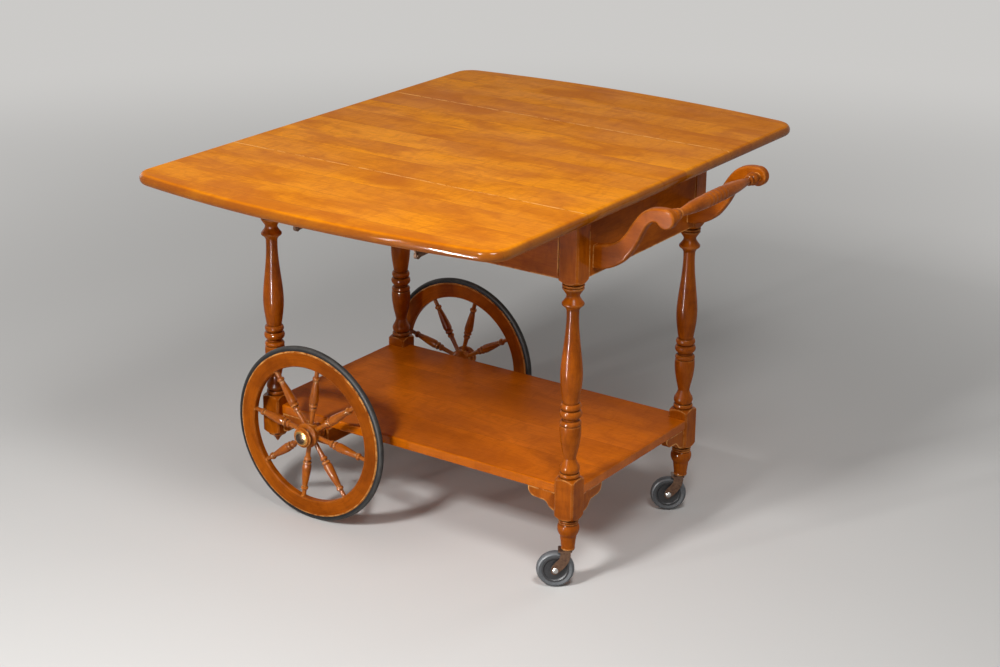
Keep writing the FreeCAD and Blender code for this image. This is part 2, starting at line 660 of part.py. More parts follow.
def rim():
    """The wooden rim, with the seat of the tyre and the spoke holes."""
    half = RIM_WIDTH / 2
    body = tube(RIM_OUTER_R, RIM_INNER_R, V(0, 0, -half), V(0, 0, half))
    body = body.makeChamfer(RIM_CHAMFER, [e for e in body.Edges if len(e.Vertexes) == 1])
    seat = TYRE_WIDTH / 2
    body = body.cut(tube(RIM_OUTER_R + 5, RIM_OUTER_R - TYRE_SEAT_DEPTH, V(0, 0, -seat), V(0, 0, seat)))
    for direction in spoke_directions():
        body = body.cut(rod(SPOKE_PEG_D / 2 + AXLE_FIT, direction * (RIM_INNER_R - 5),
                            direction * (RIM_INNER_R + SPOKE_SEAT + AXLE_FIT)))
    return biggest_solid(body)


def tyre():
    """The solid tyre: a flat seat, straight sides and a crowned tread."""
    half = TYRE_WIDTH / 2 - TYRE_FIT
    inner = RIM_OUTER_R - TYRE_SEAT_DEPTH + TYRE_FIT
    shoulder = RIM_OUTER_R + TYRE_SHOULDER
    outline = [V(inner, 0, -half), V(shoulder, 0, -half), V(shoulder, 0, half), V(inner, 0, half)]
    edges = [Part.LineSegment(outline[0], outline[1]).toShape(),
             Part.Arc(outline[1], V(WHEEL_RADIUS, 0, 0), outline[2]).toShape(),
             Part.LineSegment(outline[2], outline[3]).toShape(),
             Part.LineSegment(outline[3], outline[0]).toShape()]
    return Part.Face(Part.Wire(edges)).revolve(ORIGIN, Z_AXIS, 360)


def as_near_wheel(shape, turn):
    """A wheel piece turned and moved to the near wheel's place, its outer side towards -Y."""
    moved = shape.copy()
    moved.rotate(ORIGIN, Z_AXIS, -turn)
    moved.rotate(ORIGIN, X_AXIS, 90)
    moved.translate(V(WHEEL_X, -WHEEL_Y, AXLE_Z))
    return moved


def axle_spacers():
    """Sleeves on the axle between the beam's ends and the hubs."""
    near = tube(SPACER_D / 2, AXLE_R + AXLE_FIT, V(WHEEL_X, -BEAM_END_Y, AXLE_Z),
                V(WHEEL_X, -(WHEEL_Y - HUB_INNER - SIDE_PLAY), AXLE_Z))
    return [near, far_side(near)]


def axle_nuts():
    """Nuts on the axle's ends, inside the hubs."""
    start = WHEEL_Y + NUT_START
    hexagon = [V(WHEEL_X + NUT_D / 2 * math.cos(math.radians(60 * i)), -start,
                 AXLE_Z + NUT_D / 2 * math.sin(math.radians(60 * i))) for i in range(7)]
    nut = Part.Face(Part.makePolygon(hexagon)).extrude(V(0, -NUT_T, 0))
    nut = nut.cut(rod(AXLE_R + AXLE_FIT, V(WHEEL_X, -start + 1, AXLE_Z),
                      V(WHEEL_X, -start - NUT_T - 1, AXLE_Z)))
    return [nut, far_side(nut)]


def axle():
    """The fixed steel axle from one hub to the other."""
    end = WHEEL_Y + NUT_START + NUT_T + AXLE_END
    bar = rod(AXLE_R, V(WHEEL_X, -end, AXLE_Z), V(WHEEL_X, end, AXLE_Z))
    return bar.makeChamfer(0.8, [e for e in bar.Edges if len(e.Vertexes) == 1])


# ---------------------------------------------------------------- casters, about the stem's axis

def socket_radius():
    """Outside radius of the sleeve that takes the stem."""
    return STEM_D / 2 + AXLE_FIT + SOCKET_WALL


def caster_socket():
    """The sleeve in the leg that takes the stem, with its flange."""
    bore = STEM_D / 2 + AXLE_FIT
    sleeve = tube(socket_radius(), bore, V(0, 0, LEG_BOTTOM), V(0, 0, LEG_BOTTOM + STEM_LENGTH))
    flange = tube(SOCKET_FLANGE_D / 2, bore, V(0, 0, LEG_BOTTOM - SOCKET_FLANGE_T), V(0, 0, LEG_BOTTOM))
    return sleeve.fuse(flange).removeSplitter()


def fork_top():
    """Height of the top face of the fork's plate."""
    return LEG_BOTTOM - SOCKET_FLANGE_T - SWIVEL_GAP


def caster_stem():
    """The stem, riveted to the fork's plate, trailing direction along -X."""
    under = fork_top() - FORK_PLATE
    stem = rod(STEM_D / 2, V(0, 0, under), V(0, 0, LEG_BOTTOM + STEM_LENGTH - 2))
    head = Part.makeCone(STEM_D / 2 + 1.0, STEM_D / 2 + 2.5, 1.6, V(0, 0, under - 1.6))
    return stem.fuse(head).removeSplitter()


def caster_fork():
    """The pressed fork: a plate round the stem and two horned cheeks down to the axle."""
    top = fork_top()
    inner = CASTER_WIDTH / 2 + FORK_GAP
    outer = inner + FORK_PLATE
    deck = box(-FORK_TAIL, FORK_LEAD, -outer, outer, top - FORK_PLATE, top)
    deck = deck.makeFillet(3.0, [e for e in deck.Edges if abs(e.Length - FORK_PLATE) < 0.01])
    eye = V(-CASTER_TRAIL, -outer, CASTER_R)
    eye_r = RIVET_HEAD_D / 2 + 2.5
    drop = top - CASTER_R
    lead = [V(FORK_LEAD - 3, -outer, top), V(FORK_LEAD - 4, -outer, top - drop * 0.38),
            V(-CASTER_TRAIL * 0.35, -outer, CASTER_R + drop * 0.12),
            eye + V(0, 0, -eye_r)]
    tail = [eye + V(-eye_r, 0, 0), V(-CASTER_TRAIL * 1.12, -outer, CASTER_R + drop * 0.34),
            V(-FORK_TAIL + 1, -outer, top - drop * 0.42), V(-FORK_TAIL + 3, -outer, top)]
    front = Part.BSplineCurve()
    front.interpolate(lead)
    back = Part.BSplineCurve()
    back.interpolate(tail)
    corner = eye + V(-eye_r * math.cos(math.pi / 4), 0, -eye_r * math.sin(math.pi / 4))
    loop = [front.toShape(), Part.Arc(lead[-1], corner, tail[0]).toShape(), back.toShape(),
            Part.LineSegment(tail[-1], lead[0]).toShape()]
    cheek = Part.Face(Part.Wire(loop)).extrude(V(0, FORK_PLATE, 0))
    fork = deck.fuse(cheek).fuse(far_side(cheek))
    fork = fork.cut(rod(STEM_D / 2 + AXLE_FIT, V(0, 0, top - FORK_PLATE - 1), V(0, 0, top + 1)))
    fork = fork.cut(rod(CASTER_AXLE_D / 2 + AXLE_FIT, V(-CASTER_TRAIL, -outer - 1, CASTER_R),
                        V(-CASTER_TRAIL, outer + 1, CASTER_R)))
    return biggest_solid(fork.removeSplitter())


def caster_rivet():
    """The caster's axle, headed outside both cheeks."""
    outer = CASTER_WIDTH / 2 + FORK_GAP + FORK_PLATE
    head = turning([(0, RIVET_HEAD_D / 2), dome(0, RIVET_HEAD_D / 2, RIVET_HEAD_T)])
    shaft = rod(CASTER_AXLE_D / 2, V(-CASTER_TRAIL, -outer, CASTER_R), V(-CASTER_TRAIL, outer, CASTER_R))
    near = along(head, V(0, -1, 0), V(-CASTER_TRAIL, -outer, CASTER_R))
    far = along(head, V(0, 1, 0), V(-CASTER_TRAIL, outer, CASTER_R))
    return shaft.fuse(near).fuse(far).removeSplitter()


def caster_core():
    """The disc of the caster wheel, dished on both sides, with its bore and hub."""
    half = CASTER_CORE_WIDTH / 2
    hub_half = CASTER_WIDTH / 2 + FORK_GAP - SIDE_PLAY
    outline = [(0, hub_half), (6.5, hub_half), (8.5, half - 3.0), (CASTER_CORE_R - 5.0, half - 2.0),
               (CASTER_CORE_R - 3.0, half), (CASTER_CORE_R, half)]
    points = [V(r, 0, z) for r, z in outline] + [V(r, 0, -z) for r, z in reversed(outline)]
    disc = Part.Face(Part.makePolygon(points + points[:1])).revolve(ORIGIN, Z_AXIS, 360)
    disc = disc.cut(rod(CASTER_AXLE_D / 2 + AXLE_FIT, V(0, 0, -20), V(0, 0, 20)))
    return as_caster_wheel(biggest_solid(disc))


def caster_tyre():
    """The rubber tyre of a caster, with rounded shoulders."""
    inner = CASTER_CORE_R + TYRE_FIT
    seat = CASTER_CORE_WIDTH / 2
    half = CASTER_WIDTH / 2
    middle = (inner + CASTER_R) / 2
    corners = [V(inner, 0, -seat), V(middle, 0, -half), V(CASTER_R - 3.0, 0, -half * 0.86),
               V(CASTER_R - 3.0, 0, half * 0.86), V(middle, 0, half), V(inner, 0, seat)]
    edges = [Part.LineSegment(corners[0], corners[1]).toShape(),
             Part.LineSegment(corners[1], corners[2]).toShape(),
             Part.Arc(corners[2], V(CASTER_R, 0, 0), corners[3]).toShape(),
             Part.LineSegment(corners[3], corners[4]).toShape(),
             Part.LineSegment(corners[4], corners[5]).toShape(),
             Part.LineSegment(corners[5], corners[0]).toShape()]
    return as_caster_wheel(Part.Face(Part.Wire(edges)).revolve(ORIGIN, Z_AXIS, 360))


def as_caster_wheel(shape):
    """A caster wheel piece moved from the Z axis to its place behind the stem."""
    moved = shape.copy()
    moved.rotate(ORIGIN, X_AXIS, 90)
    moved.translate(V(-CASTER_TRAIL, 0, CASTER_R))
    return moved


def as_near_caster(shape):
    """A caster piece turned to its rest direction under the near handle leg."""
    moved = shape.copy()
    moved.rotate(ORIGIN, Z_AXIS, CASTER_TURN)
    moved.translate(V(LEG_X, -LEG_Y, 0))
    return moved


# ---------------------------------------------------------------- handle

def near_arm():
    """A goose-neck arm from the end rail to the scroll round the spindle's end."""
    base = RAIL_FACE_X
    low = RAIL_BOTTOM + ARM_BASE_LOW
    high = low + ARM_BASE_HEIGHT
    reach = HANDLE_AXIS_X - base
    rise = HANDLE_AXIS_Z - low
    y = -ARM_Y - ARM_THICKNESS / 2

    def at(across, up):
        return V(base + across * reach, y, low + up * rise)

    def on_scroll(degrees):
        angle = math.radians(degrees)
        return V(HANDLE_AXIS_X + SCROLL_R * math.cos(angle), y, HANDLE_AXIS_Z + SCROLL_R * math.sin(angle))

    under = Part.BSplineCurve()
    under.interpolate([at(0, 0), at(0.15, 0.02), at(0.30, 0.09), at(0.42, 0.19), at(0.53, 0.35),
                       at(0.63, 0.55), at(0.71, 0.76), at(0.78, 0.88), at(0.845, 0.925), on_scroll(213)])
    over = Part.BSplineCurve()
    over.interpolate([on_scroll(97), at(0.83, 1.140), at(0.72, 1.085), at(0.63, 0.985), at(0.555, 0.86),
                      at(0.485, 0.72), at(0.40, 0.58), at(0.30, 0.485), at(0.16, 0.415),
                      V(base, y, high)])
    scroll = Part.Arc(on_scroll(213), on_scroll(-20), on_scroll(97))
    loop = [under.toShape(), scroll.toShape(), over.toShape(),
            Part.LineSegment(V(base, y, high), at(0, 0)).toShape()]
    blank = Part.Face(Part.Wire(loop)).extrude(V(0, ARM_THICKNESS, 0))
    rounded = [e for e in blank.Edges if e.BoundBox.YLength < 0.01 and e.CenterOfMass.x > base + 1]
    arm = blank.makeFillet(ARM_EDGE_R, rounded)
    bore = SPINDLE_TENON_D / 2 + AXLE_FIT
    inner = -ARM_Y + ARM_THICKNESS / 2
    socket = rod(bore, V(HANDLE_AXIS_X, inner - SPINDLE_TENON - WOOD_FIT, HANDLE_AXIS_Z),
                 V(HANDLE_AXIS_X, inner + 1, HANDLE_AXIS_Z))
    return biggest_solid(arm.cut(socket))


def spindle():
    """The turned grip between the arms: rings at the middle, slim necks and a bead at each end."""
    end = ARM_Y - ARM_THICKNESS / 2
    full = SPINDLE_D / 2
    groove = full - SPINDLE_GROOVE
    rings = 2.5 * SPINDLE_RING
    stations = [(end + SPINDLE_TENON, SPINDLE_TENON_D / 2), (end, SPINDLE_TENON_D / 2)]
    stations += moulding(end, rings - end, full, [
        (0.0, 0.62), (0.04, 0.55), (0.055, 0.42), ("arc", (0.13, 0.93), (0.205, 0.42)), (0.225, 0.66),
        ("arc", (0.243, 0.74), (0.262, 0.66)), (0.27, 0.5),
        ("curve", (0.32, 0.53), (0.487, 0.71), (0.748, 0.9), (0.984, 0.95)), (1.0, groove / full)])
    stations += moulding(rings, -rings, full, [
        ("arc", (0.2, 1.0), (0.4, groove / full)), ("arc", (0.6, 1.0), (0.8, groove / full)),
        ("arc", (0.9, 1.0 - 0.25 * SPINDLE_GROOVE / full), (1.0, 1.0))])
    half = turning(stations)
    whole = half.fuse(half.mirror(ORIGIN, Z_AXIS)).removeSplitter()
    return along(whole, Y_AXIS, V(HANDLE_AXIS_X, 0, HANDLE_AXIS_Z))


def arm_screws():
    """Screws from inside the end rail into the arms' feet."""
    x = RAIL_INNER_X
    low = RAIL_BOTTOM + ARM_BASE_LOW
    heights = [low + ARM_BASE_HEIGHT * share for share in (0.25, 0.72)]
    length = RAIL_THICKNESS + ARM_SCREW_BITE
    return [(V(x, sign * ARM_Y, z), X_AXIS, length) for z in heights for sign in (-1, 1)]


# ---------------------------------------------------------------- leaf hinges

def hinge_places():
    """X places of the hinges of one leaf."""
    return [-HINGE_SPACING, 0.0, HINGE_SPACING]


def hinge_half(x, inward):
    """Half a hinge on the near joint: two outer knuckles under the centre board or one under the leaf."""
    start = x - HINGE_LENGTH / 2
    third = HINGE_LENGTH / 3
    spans = [(start, start + third), (start + 2 * third, start + HINGE_LENGTH)]
    if not inward:
        spans = [(start + third, start + 2 * third)]
    side = 1 if inward else -1
    near = -HINGE_Y + side * KNUCKLE_WEB
    far = -HINGE_Y + side * HINGE_PLATE_WIDTH
    y0, y1 = sorted((near, far))
    half = box(start, start + HINGE_LENGTH, y0, y1, TOP_UNDER - HINGE_PLATE_T, TOP_UNDER)
    for a, b in spans:
        low = a + KNUCKLE_GAP / 2 if a > start else a
        high = b - KNUCKLE_GAP / 2 if b < start + HINGE_LENGTH else b
        t0, t1 = sorted((-HINGE_Y, near + side))
        tab = box(low, high, t0, t1, TOP_UNDER - HINGE_PLATE_T, TOP_UNDER - HINGE_DROP)
        knuckle = rod(KNUCKLE_R, V(low, -HINGE_Y, HINGE_Z), V(high, -HINGE_Y, HINGE_Z))
        half = half.fuse(tab).fuse(knuckle)
    bore = rod(HINGE_PIN_D / 2 + HINGE_FIT, V(start - 1, -HINGE_Y, HINGE_Z),
               V(start + HINGE_LENGTH + 1, -HINGE_Y, HINGE_Z))
    return biggest_solid(half.cut(bore))


def hinge_screws(inward):
    """Screws of the near hinges, on the centre board's side or the leaf's side."""
    y = -HINGE_Y + (1 if inward else -1) * HINGE_PLATE_WIDTH * 0.62
    z = TOP_UNDER - HINGE_PLATE_T
    return [(V(x + dx, y, z), Z_AXIS) for x in hinge_places() for dx in (-HINGE_SCREW_X, HINGE_SCREW_X)]


def hinge_pins():
    """The pins of the near hinges, a little longer than the knuckles."""
    half = HINGE_LENGTH / 2 + HINGE_PIN_END
    return [rod(HINGE_PIN_D / 2, V(x - half, -HINGE_Y, HINGE_Z), V(x + half, -HINGE_Y, HINGE_Z))
            for x in hinge_places()]


# ---------------------------------------------------------------- leaf stays

def bar(x, start, end, bores):
    """A flat bar in the YZ plane with round ends, and a hole of given radius at each end."""
    r = STAY_BAR_W / 2
    ends = [V(x, *start), V(x, *end)]
    line = ends[1] - ends[0]
    side = V(0, -line.z, line.y).normalize() * r
    flat = Part.Face(Part.makePolygon([ends[0] + side, ends[1] + side, ends[1] - side, ends[0] - side,
                                       ends[0] + side])).extrude(V(STAY_BAR_T, 0, 0))
    for point in ends:
        flat = flat.fuse(Part.makeCylinder(r, STAY_BAR_T, point, X_AXIS))
    for point, bore in zip(ends, bores):
        if bore:
            flat = flat.cut(Part.makeCylinder(bore, STAY_BAR_T + 2, point - X_AXIS, X_AXIS))
    return biggest_solid(flat.removeSplitter())


def stud(x, y, z, length):
    """A pivot stud along +X with a flat head."""
    shank = Part.makeCylinder(STAY_PIN_D / 2, length, V(x, y, z), X_AXIS)
    head = Part.makeCylinder(STAY_HEAD_D / 2, STAY_HEAD_T, V(x + length, y, z), X_AXIS)
    return shank.fuse(head)


def stay_planes(x):
    """X places of a stay's layers: rail ear, arm, link and leaf ear."""
    step = STAY_BAR_T + STAY_BAR_GAP
    return [x + step * i for i in range(4)]


def rail_bracket(x):
    """The bracket screwed to the side rail, its ear and the arm's pivot stud."""
    ear_x, arm_x = stay_planes(x)[:2]
    y = -RAIL_FACE_Y
    half = STAY_PLATE_LENGTH / 2
    foot = box(ear_x - STAY_PLATE_WIDTH, ear_x + STAY_BAR_T, y - STAY_PLATE_T, y,
               STAY_PIVOT_Z - half, STAY_PIVOT_Z + half)
    r = STAY_BAR_W / 2
    ear = box(ear_x, ear_x + STAY_BAR_T, -STAY_PIVOT_Y, y, STAY_PIVOT_Z - r, STAY_PIVOT_Z + r)
    ear = ear.fuse(Part.makeCylinder(r, STAY_BAR_T, V(ear_x, -STAY_PIVOT_Y, STAY_PIVOT_Z), X_AXIS))
    pivot = stud(ear_x, -STAY_PIVOT_Y, STAY_PIVOT_Z, arm_x + STAY_BAR_T + STAY_BAR_GAP - ear_x)
    return biggest_solid(foot.fuse(ear).fuse(pivot).removeSplitter())


def leaf_bracket(x):
    """The bracket under the leaf, its ear and the stud of the link's upper pivot."""
    link_x, ear_x = stay_planes(x)[2:]
    half = STAY_PLATE_LENGTH / 2
    foot = box(ear_x, ear_x + STAY_PLATE_WIDTH + STAY_BAR_T, -LEAF_PIVOT_Y - half, -LEAF_PIVOT_Y + half,
               TOP_UNDER - STAY_PLATE_T, TOP_UNDER)
    r = STAY_BAR_W / 2
    ear = box(ear_x, ear_x + STAY_BAR_T, -LEAF_PIVOT_Y - r, -LEAF_PIVOT_Y + r, LEAF_PIVOT_Z, TOP_UNDER)
    ear = ear.fuse(Part.makeCylinder(r, STAY_BAR_T, V(ear_x, -LEAF_PIVOT_Y, LEAF_PIVOT_Z), X_AXIS))
    start = link_x - STAY_PIN_END
    pivot = Part.makeCylinder(STAY_PIN_D / 2, ear_x - start, V(start, -LEAF_PIVOT_Y, LEAF_PIVOT_Z), X_AXIS)
    return biggest_solid(foot.fuse(ear).fuse(pivot).removeSplitter())


def stay_arm(x):
    """The arm, parallel to the leaf, with the elbow stud that carries the link."""
    arm_x, link_x = stay_planes(x)[1:3]
    flat = bar(arm_x, (-STAY_PIVOT_Y, STAY_PIVOT_Z), (-ELBOW_Y, ELBOW_Z), (STAY_PIN_D / 2 + STAY_FIT, 0))
    elbow = stud(arm_x, -ELBOW_Y, ELBOW_Z, link_x + STAY_BAR_T + STAY_BAR_GAP - arm_x)
    return biggest_solid(flat.fuse(elbow).removeSplitter())


def stay_link(x):
    """The link from the arm's elbow up to the leaf."""
    link_x = stay_planes(x)[2]
    return bar(link_x, (-ELBOW_Y, ELBOW_Z), (-LEAF_PIVOT_Y, LEAF_PIVOT_Z),
               (STAY_PIN_D / 2 + STAY_FIT, STAY_PIN_D / 2 + STAY_OPEN_FIT))


def stay_places():
    """X places of the two stays under the near leaf."""
    return [-STAY_SPACING, STAY_SPACING]


def rail_bracket_screws():
    """Screws of the near rail brackets."""
    y = -RAIL_FACE_Y - STAY_PLATE_T
    edge = STAY_PLATE_LENGTH / 2 - STAY_SCREW_EDGE
    return [(V(x - STAY_PLATE_WIDTH * 0.5, y, STAY_PIVOT_Z + dz), Y_AXIS)
            for x in stay_places() for dz in (-edge, edge)]


def leaf_bracket_screws():
    """Screws of the near leaf brackets."""
    z = TOP_UNDER - STAY_PLATE_T
    edge = STAY_PLATE_LENGTH / 2 - STAY_SCREW_EDGE
    return [(V(stay_planes(x)[3] + STAY_BAR_T + STAY_PLATE_WIDTH * 0.55, -LEAF_PIVOT_Y + dy, z), Z_AXIS)
            for x in stay_places() for dy in (-edge, edge)]


# ---------------------------------------------------------------- assembly

def make_screws(places):
    """The screws themselves at a list of places."""
    return [screw(*at) for at in places]


def mirrored_places(places):
    """Screw places on the far side."""
    return [(V(at[0].x, -at[0].y, at[0].z), V(at[1].x, -at[1].y, at[1].z)) + tuple(at[2:]) for at in places]


def frame_nodes():
    """Everything that stands still, apart from the axle gear."""
    top_side = hinge_screws(True)
    rail_side = rail_bracket_screws()
    top_side += mirrored_places(top_side)
    rail_side += mirrored_places(rail_side)
    top, = fasten([top_center()], top_side + cleat_screws())
    cleats = fasten(top_cleats(), cleat_screws())
    near_rail = side_rail()
    near_rail, far_rail = fasten([near_rail, far_side(near_rail)], rail_side)
    handle_rail, = fasten([end_rail()], arm_screws())
    plates = [hinge_half(x, True) for x in hinge_places()]
    brackets = [rail_bracket(x) for x in stay_places()]
    plates = fasten(plates + [far_side(p) for p in plates], top_side)
    brackets = fasten(brackets + [far_side(b) for b in brackets], rail_side)
    pins = hinge_pins()
    arms = fasten([near_arm(), far_side(near_arm())], arm_screws())
    return {
        "top_center": [top],
        "top_cleats": cleats,
        "near_side_rail": [near_rail],
        "far_side_rail": [far_rail],
        "handle_end_rail": [handle_rail],
        "wheel_end_rail": [other_end(end_rail())],
        "top_hinge_plates": plates,
        "leaf_hinge_pins": pins + [far_side(pin) for pin in pins],
        "stay_rail_brackets": brackets,
        "fitting_screws": make_screws(top_side + rail_side),
        "frame_screws": make_screws(cleat_screws() + arm_screws() + beam_screws()),
        "near_handle_arm": [arms[0]],
        "far_handle_arm": [arms[1]],
        "handle_spindle": [spindle()],
    }


def leg_nodes():
    """The four legs, with their mortises and caster holes."""
    caster_leg = turned_leg(caster_foot()).cut(mortise_cutter())
    hole = socket_radius() + AXLE_FIT
    caster_leg = caster_leg.cut(rod(hole, V(0, 0, LEG_BOTTOM - 1), V(0, 0, LEG_BOTTOM + STEM_LENGTH + 1)))
    wheel_leg = turned_leg(drop_finial()).cut(mortise_cutter())
    near_handle = biggest_solid(caster_leg)
    near_handle.translate(V(LEG_X, -LEG_Y, 0))
    near_wheel = biggest_solid(wheel_leg)
    near_wheel.translate(V(LEG_X, -LEG_Y, 0))
    near_wheel = other_end(near_wheel)
    return {
        "near_handle_leg": [near_handle],
        "far_handle_leg": [far_side(near_handle)],
        "near_wheel_leg": [near_wheel],
        "far_wheel_leg": [far_side(near_wheel)],
    }


def shelf_nodes():
    """The shelf with what hangs under it."""
    board, beam = fasten([shelf(), axle_beam()], beam_screws())
    sockets = [as_near_caster(caster_socket())]
    return {
        "shelf": [board],
        "shelf_brackets": shelf_brackets(),
        "axle_beam": [beam],
        "axle": [axle()],
        "axle_spacers": axle_spacers(),
        "axle_nuts": axle_nuts(),
        "caster_sockets": sockets + [far_side(socket) for socket in sockets],
    }


def wheel_nodes():
    """Both spoked wheels."""
    pieces = {"hub": [hub()], "hub_bush": [bush()], "hub_cap": [hub_cap()], "spokes": spokes(),
              "rim": [rim()], "tyre": [tyre()]}
    nodes = {}
    for name, shapes in pieces.items():
        nodes["near_wheel_" + name] = [as_near_wheel(shape, NEAR_SPOKE_TURN) for shape in shapes]
        nodes["far_wheel_" + name] = [far_side(as_near_wheel(shape, FAR_SPOKE_TURN)) for shape in shapes]
    return nodes


def caster_nodes():
    """Both casters, turned the same way."""
    pieces = {"stem": caster_stem(), "fork": caster_fork(), "rivet": caster_rivet(), "core": caster_core(),
              "tyre": caster_tyre()}
    nodes = {}
    for name, shape in pieces.items():
        near = as_near_caster(shape)
        far = near.copy()
        far.translate(V(0, 2 * LEG_Y, 0))
        nodes["near_caster_" + name] = [near]
        nodes["far_caster_" + name] = [far]
    return nodes


def leaf_nodes():
    """Both leaves, with their hinge plates, brackets, screws, stay arms and stay links."""
    screws = hinge_screws(False) + leaf_bracket_screws()
    board, = fasten([near_leaf()], screws)
    plates = fasten([hinge_half(x, False) for x in hinge_places()], hinge_screws(False))
    brackets = fasten([leaf_bracket(x) for x in stay_places()], leaf_bracket_screws())
    pieces = {"leaf": [board], "leaf_hinge_plates": plates, "leaf_brackets": brackets,
              "leaf_screws": make_screws(screws),
              "stay_arms": [stay_arm(x) for x in stay_places()],
              "stay_links": [stay_link(x) for x in stay_places()]}
    nodes = {}
    for name, shapes in pieces.items():
        nodes["near_" + name] = shapes
        nodes["far_" + name] = [far_side(shape) for shape in shapes]
    return nodes


def main():
    """Writes every node, moved so that the origin is on the floor under the middle of the box."""
    os.makedirs("parts", exist_ok=True)
    nodes = {}
    for group in (frame_nodes, leg_nodes, shelf_nodes, wheel_nodes, caster_nodes, leaf_nodes):
        nodes.update(group())
    for name, shapes in nodes.items():
        solids = [solid for shape in shapes for solid in shape.Solids]
        whole = solids[0] if len(solids) == 1 else Part.makeCompound(solids)
        whole.translate(V(-BOX_MIDDLE_X, 0, 0))
        whole.exportStep("parts/" + name + ".step")
        print(name, len(solids), "solids", "valid" if whole.isValid() else "NOT VALID", round(whole.Volume))


main()
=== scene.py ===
# %% [markdown]
# # A drop leaf tea trolley
# The trolley's frame comes from its construction model, at real size and in metres.
# This notebook gives every piece its finish, makes the turned spokes and the screws again with
# more detail, and sets up the studio.

# %% Load the frame
import json
import math

import bmesh
import bpy
from mathutils import Matrix, Vector


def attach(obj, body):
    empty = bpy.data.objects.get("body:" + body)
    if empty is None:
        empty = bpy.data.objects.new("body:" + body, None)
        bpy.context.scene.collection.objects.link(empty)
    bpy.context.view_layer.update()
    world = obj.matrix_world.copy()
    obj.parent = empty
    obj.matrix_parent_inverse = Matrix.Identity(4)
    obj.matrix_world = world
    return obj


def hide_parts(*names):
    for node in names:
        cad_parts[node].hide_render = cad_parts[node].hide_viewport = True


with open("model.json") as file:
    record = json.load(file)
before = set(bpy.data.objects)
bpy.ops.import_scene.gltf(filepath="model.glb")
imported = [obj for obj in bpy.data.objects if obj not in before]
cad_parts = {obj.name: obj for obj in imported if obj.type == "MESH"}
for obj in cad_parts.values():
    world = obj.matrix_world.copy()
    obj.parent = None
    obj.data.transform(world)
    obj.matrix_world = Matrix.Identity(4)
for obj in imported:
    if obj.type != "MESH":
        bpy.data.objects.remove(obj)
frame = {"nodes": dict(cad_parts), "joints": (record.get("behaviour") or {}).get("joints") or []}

nodes = frame["nodes"]
pivots = {joint["name"]: Vector(joint["pos_m"]) for joint in frame["joints"]}
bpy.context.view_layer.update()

# %% [markdown]
# ## Camera
# A camera is a place, a direction and a focal length. This one stands at eye height, nearly
# four metres away, and looks down on a corner of the trolley. The three angles are turned into
# the camera's own right, up and back directions. The Standard view transform shows a colour as
# it is written.

# %% Camera
CAMERA_PLACE = (2.1327, -3.1123, 1.7677)
CAMERA_ANGLES = {"yaw": -34.5486, "pitch": 20.2873, "roll": 0.4892}
FOCAL_LENGTH = 74.817
SENSOR_WIDTH = 36.0
FARTHEST_SEEN = 60.0


def camera_axes(yaw, pitch, roll):
    """The camera's right, up and back directions from its three angles in degrees."""
    yaw, pitch, roll = (math.radians(angle) for angle in (yaw, pitch, roll))
    level = math.cos(pitch)
    forward = Vector((math.sin(yaw) * level, math.cos(yaw) * level, -math.sin(pitch)))
    right = Vector((math.cos(yaw), -math.sin(yaw), 0))
    up = right.cross(forward)
    rolled_right = right * math.cos(roll) + up * math.sin(roll)
    rolled_up = up * math.cos(roll) - right * math.sin(roll)
    return rolled_right, rolled_up, -forward


lens = bpy.data.cameras.new("camera")
lens.sensor_width = SENSOR_WIDTH
lens.lens = FOCAL_LENGTH
lens.clip_end = FARTHEST_SEEN
camera = bpy.data.objects.new("camera", lens)
bpy.context.scene.collection.objects.link(camera)
turned = Matrix(camera_axes(**CAMERA_ANGLES)).transposed().to_4x4()
camera.matrix_world = Matrix.Translation(CAMERA_PLACE) @ turned
bpy.context.scene.camera = camera
bpy.context.scene.view_settings.view_transform = "Standard"
print("camera at", [round(value, 2) for value in camera.location])

# %% [markdown]
# ## Node trees
# Finishes, the world and Geometry Nodes are all trees of nodes. A few small functions add a
# node and join it to the others in one line, so that a tree below reads like a sum.

# %% Node helpers
def add(tree, kind, inputs=(), **options):
    """Adds a node; inputs maps its sockets to numbers or to other nodes' outputs."""
    made = tree.nodes.new(kind)
    for name, value in options.items():
        setattr(made, name, value)
    for name, value in dict(inputs).items():
        join(tree, value, made.inputs[name])
    return made


def join(tree, value, socket):
    """Links an output to a socket, or writes a number into it."""
    if isinstance(value, bpy.types.NodeSocket):
        tree.links.new(value, socket)
    else:
        socket.default_value = value


def math_node(tree, operation, *values):
    """The result of a Math node."""
    return add(tree, "ShaderNodeMath", enumerate(values), operation=operation).outputs[0]


def mix(tree, factor, one, other):
    """The result of mixing two colours."""
    return add(tree, "ShaderNodeMix", {0: factor, 6: one, 7: other}, data_type="RGBA").outputs[2]


def ramp(tree, value, low, high, bottom=0.0, top=1.0):
    """A value that goes smoothly from bottom to top while the input goes from low to high."""
    limits = {"Value": value, "From Min": low, "From Max": high, "To Min": bottom, "To Max": top}
    return add(tree, "ShaderNodeMapRange", limits, interpolation_type="SMOOTHSTEP").outputs[0]


def finish_of(name):
    """A new material with an empty node tree."""
    material = bpy.data.materials.new(name)
    material.use_nodes = True
    material.node_tree.nodes.clear()
    return material, material.node_tree


print("node helpers ready")

# %% [markdown]
# ## World
# The world is a pale backdrop. The Light Path node lets the camera, mirror rays and
# see-through rays meet that pale colour, while the light that the world gives to the trolley
# stays weaker, so the lamps decide how the wood is shaded.

# %% World
WARM_WHITE = (1.0, 0.985, 0.965, 1)
WORLD_LIGHT = 0.08
WORLD_SEEN = 0.60


